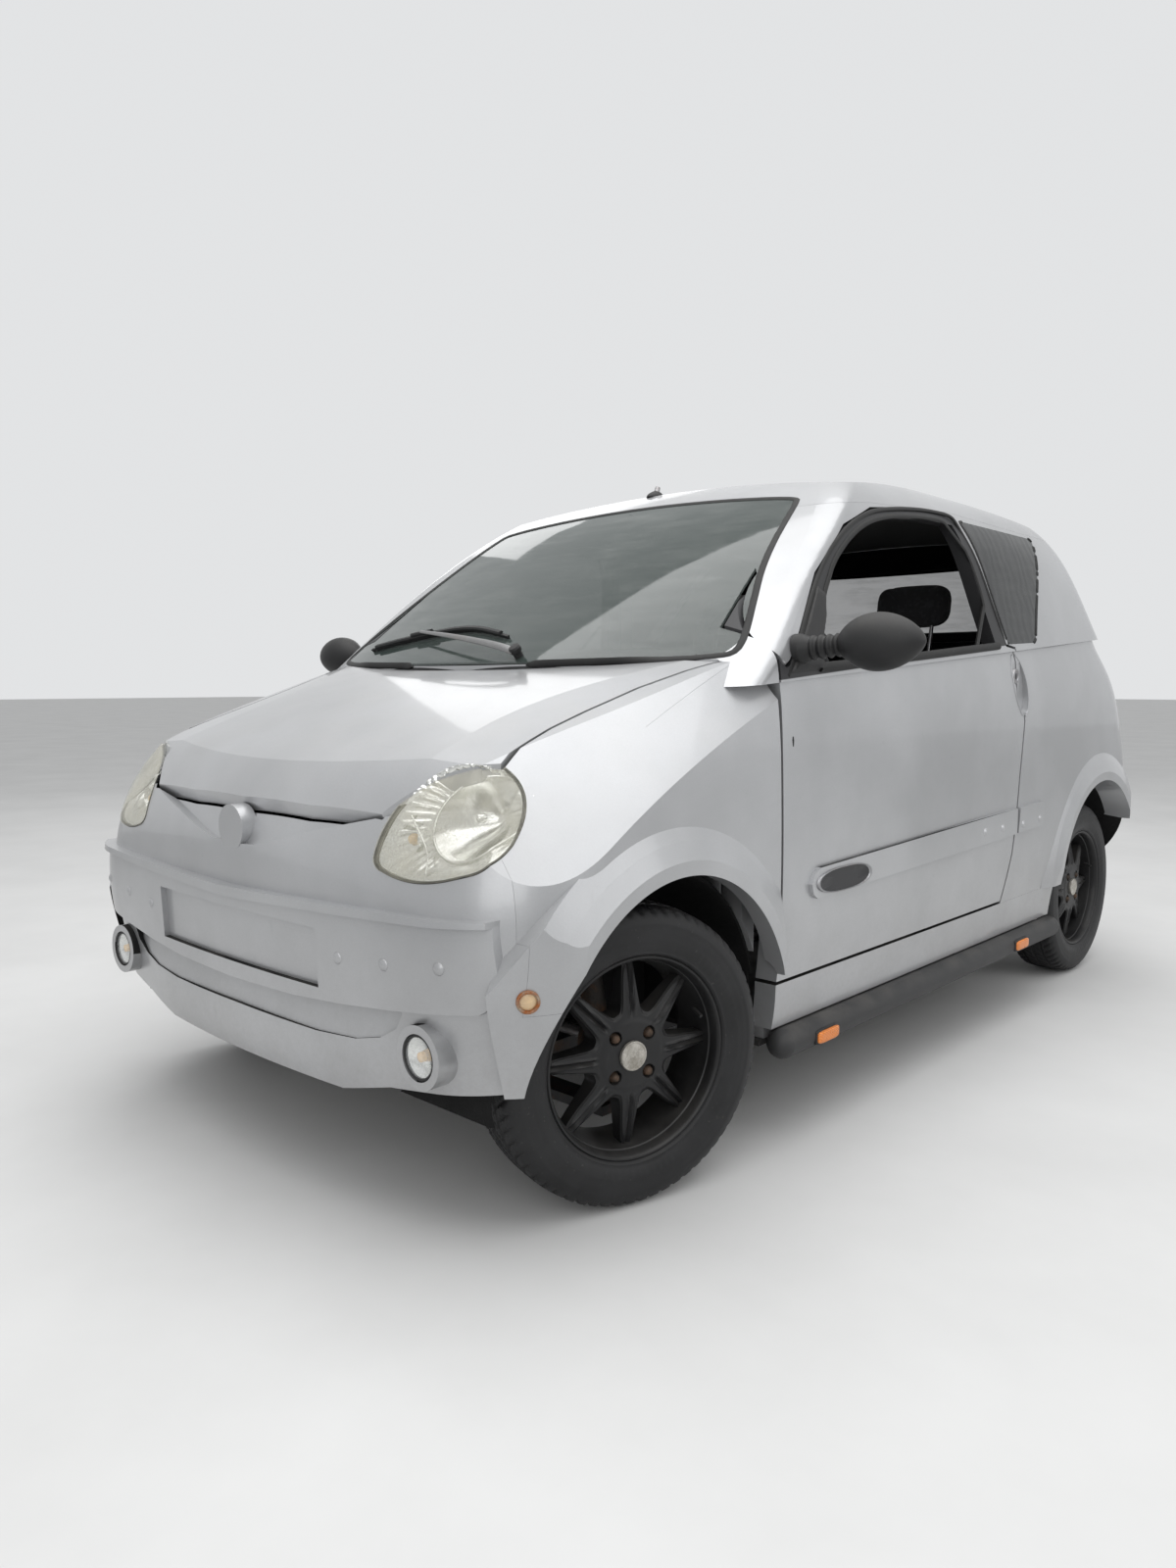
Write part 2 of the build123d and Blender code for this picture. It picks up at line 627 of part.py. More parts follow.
door_leaves = []
post_arms = []
for height in hinge_heights:
    leaf = barrel(height + hinge_height / 2, hinge_barrel, hinge_pin + pin_clear)
    plate = block(
        door_pin_x - 14, door_pin_x - 7, door_pin - 4, door_pin + 44, height + hinge_height / 2 + 2,
        height + hinge_height - 3,
    )
    door_leaves.append(leaf + plate)
    pin = Pos(door_pin_x, at_station(door_pin), height + hinge_height / 2) * Cylinder(hinge_pin, hinge_height - 2)
    low, high = height + 2, height + hinge_height / 2 - 2
    link = block(post_x[1] - 12, post_x[1], post_stations[1] - 4, door_pin + 9, low, high)
    arm = link + block(post_x[1] - 12, door_pin_x - 5, door_pin - 9, door_pin + 9, low, high)
    post_arms.append((arm - pin) + barrel(height, hinge_barrel, 0) + pin)
for leaf in door_leaves:
    door = door + leaf
parts["door_left"] = door
parts["door_right"] = mirrored(door)

# Rear: quarters, roof panel, tailgate, rear bumper, sills
gate_window_shape = fillet(line_face([
    (gate_window_low[0], gate_window_low[1]), (gate_window_top[0], gate_window_top[1]),
    (-gate_window_top[0], gate_window_top[1]), (-gate_window_low[0], gate_window_low[1]),
]).vertices(), 45)
gate_window_hole = front_prism(gate_window_shape, 1900, 2800)
gate_glass_zone = front_prism(offset(gate_window_shape, amount=-seat_gap), 1900, 2800)
gate = (cabin_shell & gate_zone()) - gate_window_hole
gate_glass = ((cabin_skin - (upper_glass & above_belt & under_roof) - (lower_thin & below_belt)) & gate_zone()) & gate_glass_zone
parts["tailgate_glass"] = gate_glass
gate_y = at_station(gate_pin[0])
gate_lug = rod((gate_ear[0] - 24, gate_y, gate_pin[1]), (gate_ear[0] - 2, gate_y, gate_pin[1]), 10)
gate_bore = rod((gate_ear[0] - 30, gate_y, gate_pin[1]), (gate_ear[0], gate_y, gate_pin[1]), hinge_pin + pin_clear)
gate_notch = block(
    gate_ear[0] - 2, gate_ear[1] + 5, gate_pin[0] - gate_top_reach - 20, gate_pin[0] + 20, gate_pin[1] - 60, far_high
)
gate = (gate - both(gate_notch) + both(gate_lug)) - both(gate_bore)
gate_ears = block(gate_ear[0], gate_ear[1], gate_pin[0] - 75, gate_pin[0] + 8, gate_pin[1] - 14, gate_pin[1] + 9)
gate_ears = gate_ears + rod((gate_ear[0] - 23, gate_y, gate_pin[1]), (gate_ear[0] + 1, gate_y, gate_pin[1]), hinge_pin)

body_rear = rear_shell - gate_opening - arch_cut - screen_opening
body_rear = body_rear - door_opening - mirrored(door_opening)
quarter_hole = side_prism(quarter_window)
bumper_zone = side_prism([(rear_arch_end, far_low), (rear_arch_end, rear_seam), (far_rear, rear_seam), (far_rear, far_low)])
bumper_zone = bumper_zone + block(-rear_middle, rear_middle, rear_arch_end, far_rear, rear_seam - 1, 720)
bumper_clear = side_prism([
    (rear_arch_end - seat_gap, far_low), (rear_arch_end - seat_gap, rear_seam + seat_gap), (far_rear, rear_seam + seat_gap),
    (far_rear, far_low),
])
middle_half = rear_middle + seat_gap
bumper_clear = bumper_clear + block(-middle_half, middle_half, rear_arch_end - 300, far_rear, rear_seam - 1, 720)
parts["rear_bumper"] = body_rear & bumper_zone
roof = (cabin_shell & roof_zone) - screen_opening - gate_opening
roof = roof + both(gate_ears)
parts["roof_panel"] = roof
quarter_start = door_pin + door_outline[0][0] - 200
quarter = (body_rear & block(0, 900, quarter_start, far_rear, far_low, far_high)) - roof_clear - bumper_clear
quarter = quarter + (rear_flare - bumper_clear)
quarter = quarter + ((strip_body & side_prism(quarter_strip, 500, 900)) - door_opening)
quarter = quarter - quarter_hole - handle_dish
sill_zone = block(0, 900, door_front - shut_gap - 1, sill_end, sill_low, sill_top)
sill_clear = block(0, 900, 200, sill_end + seat_gap, far_low, sill_top + seat_gap)
quarter = quarter - sill_clear
lamp_cut = side_prism(tail_lamp_side, 560, 900)
tail_lamp = ((lower_outer - lower_thin) & below_belt & lamp_cut) - gate_opening
parts["tail_lamps"] = both(tail_lamp)
lamp_room = [(tail_lamp_side[0][0] - seat_gap, 640 - seat_gap), (2720, 640 - seat_gap), (2720, 870 + seat_gap), (2390 - seat_gap, 870 + seat_gap)]
quarter = quarter - side_prism(lamp_room, 560 - seat_gap, 900) - gate_opening
pane_shell = side_prism(quarter_glass, 300, 900)
quarter = quarter - (pane_shell - plan_body(upper_plans, glass_wall + seat_gap))
quarter = quarter.solids().sort_by(SortBy.VOLUME)[-1]
parts["quarter_left"] = quarter
parts["quarter_right"] = mirrored(quarter)
sill = (rear_shell & sill_zone) - arch_cut
sill = sill + block(sill_leg[0], sill_leg[1], door_front + 20, sill_end - 20, floor_top + seat_gap, sill_low + 10)
parts["sills"] = both(sill)
pane_outline = offset(line_face([(at_station(s), z) for s, z in quarter_glass]), amount=-seat_gap, kind=Kind.INTERSECTION)
pane_prism = extrude(Plane(origin=(300, 0, 0), x_dir=(0, 1, 0), z_dir=(1, 0, 0)) * pane_outline, amount=600, dir=(1, 0, 0))
quarter_pane = ((upper_outer - upper_glass) & above_belt & pane_prism) - roof_clear
parts["quarter_glasses"] = both(quarter_pane)

# Windscreen, pillars and bulkhead
pillar_shell = ((upper_outer & above_belt & under_roof) - (upper_inner & under_roof_inner)) - nose
pillars = pillar_shell - screen_opening - roof_clear - hood_opening - door_opening - mirrored(door_opening)
pillars = pillars & block(-900, 900, far_front, 1100, far_low, far_high)
screen = ((upper_outer & under_roof) - upper_glass) & screen_zone & above_belt
parts["windscreen"] = screen - hood_opening - nose - door_opening - mirrored(door_opening)


# Bulkhead, posts and cowl, joined with the pillars
arch_room = both(ring(1, 0, 0.5, arch_radius + sheet + seat_gap, housing_inner - sheet - seat_gap, 900))
bulkhead = block(-640, 640, bulkhead_station, bulkhead_station + sheet, floor_top + seat_gap, 990)
bulkhead = (bulkhead & (lower_thin & under_hood_inner)) - hood_opening
post = block(post_x[0], post_x[1], post_stations[0], post_stations[1], floor_top + seat_gap, 900)
brace = block(590, 640, bulkhead_station, post_stations[0] + 2, 600, 680)
left_post = post + brace + post_arms[0] + post_arms[1]
hood_y = at_station(hood_pin[0])
hood_stand = block(hood_ear[0], hood_ear[1], hood_pin[0] - 10, hood_pin[0] + 9, hood_pin[1] - 72, hood_pin[1] + 7)
hood_leg = block(hood_ear[0], hood_ear[1], hood_pin[0] - 10, bulkhead_station + 2, hood_pin[1] - 88, hood_pin[1] - 66)
hood_axle = rod((hood_ear[0] - 19, hood_y, hood_pin[1]), (hood_ear[0] + 1, hood_y, hood_pin[1]), hinge_pin)
hood_bracket = hood_stand + hood_leg + hood_axle
hood_lug = rod((hood_ear[0] - 20, hood_y, hood_pin[1]), (hood_ear[0] - 2, hood_y, hood_pin[1]), 9)
hood_lug = hood_lug + block(
    hood_ear[0] - 20, hood_ear[0] - 2, hood_pin[0] - 9, hood_pin[0] + 9, hood_pin[1], hood_pin[1] + 22
)
hood_bore = rod((hood_ear[0] - 25, hood_y, hood_pin[1]), (hood_ear[0], hood_y, hood_pin[1]), hinge_pin + pin_clear)
parts["hood"] = (parts["hood"] + both(hood_lug)) - both(hood_bore)
frame = (pillars + cowl + bulkhead + both(left_post)) - arch_room + both(hood_bracket)
parts["cabin_frame"] = frame
parts["tailgate"] = gate

# Floor, rails and wheel housings
floor = block(-floor_half, floor_half, floor_front, floor_rear, floor_low, floor_top)
for station, radius in ((0.0, arch_radius), (wheelbase, rear_arch_radius)):
    floor = floor - both(ring(1, station, 0.5, radius + sheet + 1, housing_inner - 4, 800))
parts["floor_pan"] = floor & plan_body([(floor_low - 1,) + lower_plans[0][1:], (floor_top + 1,) + lower_plans[0][1:]], 4)
rails = Part()
for x in (-rail_x, rail_x):
    rails = rails + block(x - rail_width / 2, x + rail_width / 2, rail_drop, rail_rear, rail_low, floor_low - seat_gap)
    rails = rails + block(x - rail_width / 2, x + rail_width / 2, rail_drop, rail_drop + 50, rail_low, rail_raised[1])
    rails = rails + block(x - rail_width / 2, x + rail_width / 2, rail_front, rail_drop + 50, *rail_raised)
for station in rail_crosses:
    rails = rails + block(-rail_x, rail_x, station, station + rail_width, rail_low, floor_low - seat_gap)
front_room = plan_body(lower_plans, hood_wall + seat_gap)
beam = block(-beam_half, beam_half, -450, rail_front + 35, 300, beam_top) & front_room
stand = both(block(rail_x - rail_width / 2, rail_x + rail_width / 2, rail_front, rail_front + 50, rail_raised[0], beam_top - 20))
rails = rails + beam + stand
parts["chassis_rails"] = rails


def housing(station, radius, strut):
    """Half-round wheel housing over one left wheel, with its inner wall."""
    shell = ring(1, station, radius, radius + sheet, housing_inner, housing_outer)
    wall = ring(1, station, 0.5, radius + sheet, housing_inner - sheet, housing_inner)
    if strut:
        wall = wall - Pos(housing_inner, at_station(station), tyre_radius) * Rot(0, 90, 0) * Cylinder(wall_window, 60)
    shell = shell + wall - block(housing_foot, 900, station - 600, station + 600, far_low, sill_top + 14)
    keep = block(200, 900, station - 600, station + 600, floor_top + seat_gap, far_high)
    return shell & keep


front_housing = housing(0, arch_radius, True)
rear_housing = housing(wheelbase, rear_arch_radius, False)
rear_room = plan_body(lower_plans, side_wall + seat_gap)
slope = (strut_head[0] - ball_point[0]) / (strut_head[1] - ball_point[1])


def on_strut(rise, y=front_axle):
    """Point on the left steering axis, a height above its lower ball."""
    return (ball_point[0] + slope * rise, y, ball_point[1] + rise)


strut_rise = strut_head[1] - ball_point[1]
tower = rod(on_strut(405), on_strut(strut_rise + 10), tower_radius + 4)
tower_space = rod(on_strut(300), on_strut(strut_rise + 1.5), tower_radius)
front_housing = ((front_housing & front_room) - rod(on_strut(300), on_strut(strut_rise), tower_radius + 1)) + (tower - tower_space)
parts["wheel_housings"] = both(front_housing) + both(rear_housing & rear_room)

# Wheels, built upright and straight about the X axis, outer face to +X
barrel_half = tyre_width / 2 - 14


def tyre():
    """Tyre as one closed ring."""
    half = tyre_width / 2 - 3
    profile = line_face([
        (-half, rim_radius), (-tread_half, tyre_radius), (tread_half, tyre_radius), (half, rim_radius),
    ])
    return revolve(profile, axis=Axis.X, revolution_arc=360)


def rim():
    """Rim with eight slotted spokes, hub disc, lug recesses, cap and brake drum behind."""
    outer = rim_radius - seat_gap
    barrel_profile = line_face([
        (-barrel_half, outer - 14), (-barrel_half, outer), (barrel_half, outer), (barrel_half, outer - 9), (barrel_half - 12, outer - 17),
        (barrel_half - 34, outer - 22),
    ])
    wheel = revolve(barrel_profile, axis=Axis.X, revolution_arc=360)
    face = Circle(outer - 14) - Circle(hub_radius - 6)
    window = line_face([(hub_radius + 9, 0), (outer - 32, -window_half), (outer - 20, 0), (outer - 32, window_half)])
    slot = line_face([(hub_radius + 6, -1.5), (outer - 26, -3.5), (outer - 26, 3.5), (hub_radius + 6, 1.5)])
    for index in range(spoke_count):
        turn = Rot(0, 0, index * 360 / spoke_count)
        between = Rot(0, 0, (index + 0.5) * 360 / spoke_count)
        face = face - turn * window
        face = face - between * slot
    spokes = Plane(origin=(spoke_back, 0, 0), x_dir=(0, 1, 0), z_dir=(1, 0, 0)) * face
    wheel = wheel + extrude(spokes, amount=spoke_depth, dir=(1, 0, 0))
    hub = Circle(hub_radius) - [Rot(0, 0, 45 + 90 * i) * Pos(lug_circle, 0) * Circle(lug_radius) for i in range(lug_count)]
    hub_plane = Plane(origin=(spoke_back, 0, 0), x_dir=(0, 1, 0), z_dir=(1, 0, 0))
    wheel = wheel + extrude(hub_plane * hub, amount=spoke_depth, dir=(1, 0, 0))
    wheel = wheel + rod((-hub_depth, 0, 0), (spoke_back + 1, 0, 0), hub_radius + lug_radius)
    return wheel + rod((spoke_back, 0, 0), (spoke_back + spoke_depth + 7, 0, 0), cap_radius)


def turned(point, axis_point, axis_direction, degrees):
    """A point turned about a line."""
    angle = math.radians(degrees)
    k = Vector(*axis_direction).normalized()
    v = Vector(*point) - Vector(*axis_point)
    moved = v * math.cos(angle) + k.cross(v) * math.sin(angle) + k * (k.dot(v) * (1 - math.cos(angle)))
    return moved + Vector(*axis_point)


def rest_lift():
    """How far the steered front wheel has to rise for its tread to stand on the ground."""
    low = (ball_point[0], 0, ball_point[1])
    direction = (strut_head[0] - ball_point[0], 0, strut_head[1] - ball_point[1])
    centre = turned((hub_offset, 0, tyre_radius), low, direction, -rest_steer)
    tip = turned((hub_offset + 1, 0, tyre_radius), low, direction, -rest_steer) - centre
    across = math.sqrt(1 - tip.Z ** 2)
    return tyre_radius * across + tread_half * abs(tip.Z) - centre.Z


lift = rest_lift()
hub_height = tyre_radius + lift
ball = (ball_point[0], front_axle, ball_point[1] + lift)
head = (strut_head[0], front_axle, strut_head[1] + lift)


def steer(shape, side):
    """A left-hand piece put on one side of the car and turned to the parked steering angle."""
    placed = shape if side > 0 else mirrored(shape)
    low = Vector(side * ball[0], ball[1], ball[2])
    high = Vector(side * head[0], head[1], head[2])
    return placed.rotate(Axis(low, high - low), -rest_steer)


def knuckle():
    """Left front knuckle with hub stub, joint bell, steering arm, lower ball and strut."""
    slope = (head[0] - ball[0]) / (head[2] - ball[2])
    axis_x = ball[0] + slope * (hub_height - ball[2])
    y = front_axle
    carrier = rod((axis_x, y, hub_height), (hub_offset - hub_depth - 6, y, hub_height), 44)
    stub = rod((axis_x, y, hub_height), (hub_offset - hub_depth - seat_gap, y, hub_height), 22)
    bell = Pos(axis_x, y, hub_height) * Sphere(bell_radius)
    foot = rod((ball[0], y, ball[2]), (axis_x + 8, y, hub_height), 13) + Pos(*ball) * Sphere(ball_radius)
    strut_foot = (ball[0] + slope * 190, y, ball[2] + 190)
    strut_foot_low = (ball[0] + slope * 60, y, ball[2] + 60)
    tube = rod(strut_foot_low, (ball[0] + slope * 430, y, ball[2] + 430), strut_radius)
    piston = rod(strut_foot, head, 11)
    seat = rod((ball[0] + slope * 405, y, ball[2] + 405), (ball[0] + slope * 412, y, ball[2] + 412), spring_radius + 8)
    coils = rod((ball[0] + slope * 412, y, ball[2] + 412), (head[0] - slope * 10, y, head[2] - 10), spring_radius)
    arm = block(axis_x - 10, axis_x + 10, 20, steer_arm, hub_height - 8, hub_height + 8)
    return carrier + stub + bell + foot + tube + piston + seat + coils + arm


def on_axle(shape, side, station, height):
    """A wheel piece moved to its place on one side."""
    placed = Pos(hub_offset, at_station(station), height) * shape
    return placed if side > 0 else mirrored(placed)


tyre_shape = tyre()
rim_shape = rim()
knuckle_shape = knuckle()
for side, hand in ((1, "left"), (-1, "right")):
    parts[f"tyre_front_{hand}"] = steer(Pos(hub_offset, front_axle, hub_height) * tyre_shape, side)
    parts[f"rim_front_{hand}"] = steer(Pos(hub_offset, front_axle, hub_height) * rim_shape, side)
    parts[f"knuckle_{hand}"] = steer(knuckle_shape, side)
    parts[f"tyre_rear_{hand}"] = on_axle(tyre_shape, side, wheelbase, tyre_radius)
    parts[f"rim_rear_{hand}"] = on_axle(rim_shape, side, wheelbase, tyre_radius)

# Suspension and drive below the floor
axis_x = ball[0] + (head[0] - ball[0]) / (head[2] - ball[2]) * (hub_height - ball[2])
arm_top = ball[2] - ball_radius - seat_gap
front_arm = block(rail_x + rail_width / 2 + seat_gap, ball[0] + 14, -26, 26, arm_top - 18, arm_top)
parts["front_arms"] = both(front_arm)
shaft_end = axis_x - bell_radius - seat_gap
shaft_left = rod((engine_x[1] + seat_gap, front_axle, hub_height), (shaft_end, front_axle, hub_height), 11)
shaft_right = rod((engine_x[0] - seat_gap, front_axle, hub_height), (-shaft_end, front_axle, hub_height), 11)
parts["drive_shafts"] = Part() + [shaft_left, shaft_right]
engine = block(engine_x[0], engine_x[1], -240, 60, floor_low, 560)
engine = engine + block(-330, 330, -110, -60, floor_low, floor_low + 25)
parts["engine"] = engine
rear_hub = rod((hub_offset - hub_depth - seat_gap, rear_axle, tyre_radius), (470, rear_axle, tyre_radius), 40)
trailing_side = [
    (wheelbase - 440, 150), (wheelbase - 440, 192), (wheelbase - 300, 192), (wheelbase - 60, 290), (wheelbase + 30, 290),
    (wheelbase + 30, 150),
]
trailing = side_prism(trailing_side, 470, 515)
pivot = block(rail_x + rail_width / 2 + seat_gap, 471, wheelbase - 440, wheelbase - 400, 150, 192)
beam_bar = block(-480, 480, wheelbase - 30, wheelbase + 20, 150, 192)
parts["rear_axle"] = both(rear_hub) + both(trailing) + both(pivot) + beam_bar
rack_y = steer_arm + 3 + tie_radius
housing_tube = rod((-170, at_station(rack_y), hub_height), (170, at_station(rack_y), hub_height), 24)
rack_bore = rod((-171, at_station(rack_y), hub_height), (171, at_station(rack_y), hub_height), tie_radius + pin_clear)
rack_foot = block(-140, 140, rack_y - 10, rack_y + 10, floor_low, hub_height - 20)
parts["rack_housing"] = housing_tube + rack_foot - rack_bore
rack_shift = (steer_arm - 6) * math.sin(math.radians(rest_steer))
eye = axis_x - 14
tie = rod((-eye, at_station(rack_y), hub_height), (eye, at_station(rack_y), hub_height), tie_radius)
parts["tie_rods"] = Pos(rack_shift, 0, 0) * tie

# Side tubes
tube_run = rod((tube_x, at_station(tube_front), tube_z), (tube_x, at_station(tube_rear), tube_z), tube_radius)
tube_ends = [
    Pos(tube_x, at_station(station), tube_z) * Sphere(tube_radius) for station in (tube_front, tube_rear)
]
stay = [block(600, tube_x, station, station + 30, floor_low - 12, floor_low - seat_gap) for station in tube_stays]
parts["side_tubes"] = both(tube_run + tube_ends + stay)

# Seats, dashboard, steering wheel
seat_side = [
    (980, 400), (1000, 460), (1180, 455), (1420, 470), (1480, 640), (1560, 990), (1640, 990), (1590, 640), (1520, 400),
]
seat_body = side_prism(seat_side, seat_x - 235, seat_x + 235)
head_side = [(1555, 1060), (1560, 1215), (1625, 1215), (1640, 1060)]
head_rest = side_prism(head_side, seat_x - 125, seat_x + 125)
head_posts = [rod((x, at_station(1602), 980), (x, at_station(1602), 1080), 6) for x in (seat_x - 60, seat_x + 60)]
base = block(seat_x - 200, seat_x + 200, 1030, 1500, floor_top + seat_gap, 402)
chair = fillet(seat_body.edges().filter_by(Axis.X), 18) + head_rest + head_posts + base
parts["seat_left"] = chair
parts["seat_right"] = mirrored(chair)
dash_side = [
    (330, 880), (420, 945), (640, 935), (700, 880), (690, 790), (640, 700), (560, 560), (480, 560), (440, 700), (330, 760),
]
dash = side_prism(dash_side, -560, 560)
dash_leg = block(-dash_leg_half, dash_leg_half, bulkhead_station + sheet + seat_gap, 340, 800, 860)
lean = Vector(0, wheel_lean_y, wheel_lean_z).normalized()
wheel_centre = Vector(wheel_x, at_station(wheel_station), wheel_z)
column = rod(wheel_centre - lean * 160, wheel_centre - lean * (18 + seat_gap), 27)
parts["dashboard"] = fillet(dash.edges().filter_by(Axis.X), 15) + dash_leg + column
wheel_plane = Plane(origin=(wheel_x, at_station(wheel_station), wheel_z), x_dir=(1, 0, 0), z_dir=(0, wheel_lean_y, wheel_lean_z))
grip = wheel_plane * Torus(grip_radius, 14)
boss = wheel_plane * Cylinder(52, 36)
spoke_bar = wheel_plane * Box(2 * grip_radius, 34, 14)
spoke_down = wheel_plane * (Pos(0, -grip_radius / 2, 0) * Box(34, grip_radius, 14))
parts["steering_wheel"] = grip + boss + spoke_bar + spoke_down

# Door mirrors, egg-shaped housings on a round neck
belly_x, belly_radius = mirror_belly
egg_line = Spline(
    [(mirror_in, 0), (mirror_in + 27, 40), (belly_x, belly_radius), (mirror_out - 22, 40), (mirror_out, 0)],
    tangents=[(0, 1), (0, -1)],
)
mirror_profile = make_face([egg_line, Line((mirror_out, 0), (mirror_in, 0))])
mirror_box = Pos(0, at_station(mirror_station), mirror_z) * revolve(mirror_profile, axis=Axis.X, revolution_arc=360)
neck = rod(
    (668, at_station(mirror_station - 12), mirror_z - 10), (mirror_in + 22, at_station(mirror_station), mirror_z - 3), 22
)
neck = neck - upper_outer - lower_outer
parts["mirror_left"] = mirror_box + neck
parts["mirror_right"] = mirrored(parts["mirror_left"])

# Glass of the right door, which is wound up
door_pane = offset(line_face([(at_station(s), z) for s, z in door_window]), amount=-seat_gap, kind=Kind.INTERSECTION)
door_pane = Plane(origin=(300, 0, 0), x_dir=(0, 1, 0), z_dir=(1, 0, 0)) * door_pane
parts["door_glass_right"] = mirrored((upper_outer - upper_glass) & extrude(door_pane, amount=600, dir=(1, 0, 0)))

os.makedirs("parts", exist_ok=True)
for name, shape in parts.items():
    export_step(shape, f"parts/{name}.step")
    print(name, shape.is_valid, len(shape.solids()), round(shape.volume / 1e6, 2))
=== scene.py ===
import json
import logging
import math
from dataclasses import dataclass
from enum import Enum
from functools import lru_cache
from typing import Sequence

import bmesh
import bpy
import numpy as np
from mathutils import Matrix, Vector


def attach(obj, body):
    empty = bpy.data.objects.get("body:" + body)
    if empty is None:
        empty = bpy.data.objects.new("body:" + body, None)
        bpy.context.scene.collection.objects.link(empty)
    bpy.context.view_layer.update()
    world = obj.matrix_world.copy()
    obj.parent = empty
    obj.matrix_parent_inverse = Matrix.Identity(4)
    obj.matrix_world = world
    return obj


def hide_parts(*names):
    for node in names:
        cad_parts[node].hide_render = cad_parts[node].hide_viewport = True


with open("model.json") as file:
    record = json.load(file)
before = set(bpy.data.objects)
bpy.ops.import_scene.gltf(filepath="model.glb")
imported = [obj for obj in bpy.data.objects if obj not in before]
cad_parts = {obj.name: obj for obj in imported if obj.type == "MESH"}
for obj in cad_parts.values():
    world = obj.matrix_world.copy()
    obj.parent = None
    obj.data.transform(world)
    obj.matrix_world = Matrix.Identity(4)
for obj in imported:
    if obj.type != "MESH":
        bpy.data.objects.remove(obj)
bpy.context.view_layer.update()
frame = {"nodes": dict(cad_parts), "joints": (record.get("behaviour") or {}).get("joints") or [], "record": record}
log = logging.getLogger("microcar")

Array = np.ndarray
Colour = tuple[float, float, float]

# The frame's Y at the front axle, in metres
FRONT_AXLE = -1.045
BODY = "body"


def at_station(distance: float | Array) -> float | Array:
    """Y of a distance behind the front axle, both in metres."""
    return distance + FRONT_AXLE


def unit(vectors: Array) -> Array:
    """Vectors at length one, along the last axis."""
    vectors = np.asarray(vectors, float)
    length = np.linalg.norm(vectors, axis=-1, keepdims=True)
    return vectors / np.maximum(length, 1e-12)


def smooth(value: Array, low: float, high: float) -> Array:
    """Zero below low, one above high, and the curve 3t^2 - 2t^3 between them."""
    t = np.clip((np.asarray(value, float) - low) / (high - low), 0, 1)
    return t * t * (3 - 2 * t)


def square_axes(direction: Sequence[float], up: Sequence[float] = (0, 0, 1)) -> tuple[Array, Array, Array]:
    """Three unit vectors square to each other, the first along a direction.

    Args:
        direction: Where the first vector points.
        up: A vector that the third one follows as nearly as it can.

    Returns:
        The direction, the side and the upward vector.
    """
    ahead = unit(direction)
    if abs(float(ahead @ unit(up))) > 0.95:
        up = (0, 1, 0) if abs(ahead[1]) < 0.9 else (1, 0, 0)
    side = unit(np.cross(up, ahead))
    return ahead, side, np.cross(ahead, side)


def mirrored(points: Array, side: int) -> Array:
    """Points of the left side, or their mirror image when side is negative."""
    return points * np.array([side, 1, 1])


def resampled(points: Array, count: int, closed: bool = False) -> Array:
    """Points at even distances along a line of points.

    Args:
        points: The corners of the line, one row each.
        count: How many points come back.
        closed: Whether the line returns to its start.

    Returns:
        An array of count rows, found by straight interpolation over the length run so far.
    """
    line = np.vstack([points, points[:1]]) if closed else np.asarray(points, float)
    run = np.concatenate([[0], np.cumsum(np.linalg.norm(np.diff(line, axis=0), axis=1))])
    places = np.linspace(0, run[-1], count, endpoint=not closed)
    return np.stack([np.interp(places, run, line[:, k]) for k in range(line.shape[1])], -1)


def rounded(points: Array, count: int, passes: int = 2, closed: bool = True) -> Array:
    """A line of points with its corners cut off and drawn smooth, then spaced evenly.

    Each pass puts two new points on every run, a quarter and three quarters of the way along it.
    """
    line = np.asarray(points, float)
    for _ in range(passes):
        after = np.roll(line, -1, axis=0) if closed else line[1:]
        before = line if closed else line[:-1]
        cut = np.stack([0.75 * before + 0.25 * after, 0.25 * before + 0.75 * after], 1).reshape(-1,
            line.shape[1])
        line = cut if closed else np.vstack([line[:1], cut, line[-1:]])
    return resampled(line, count, closed)


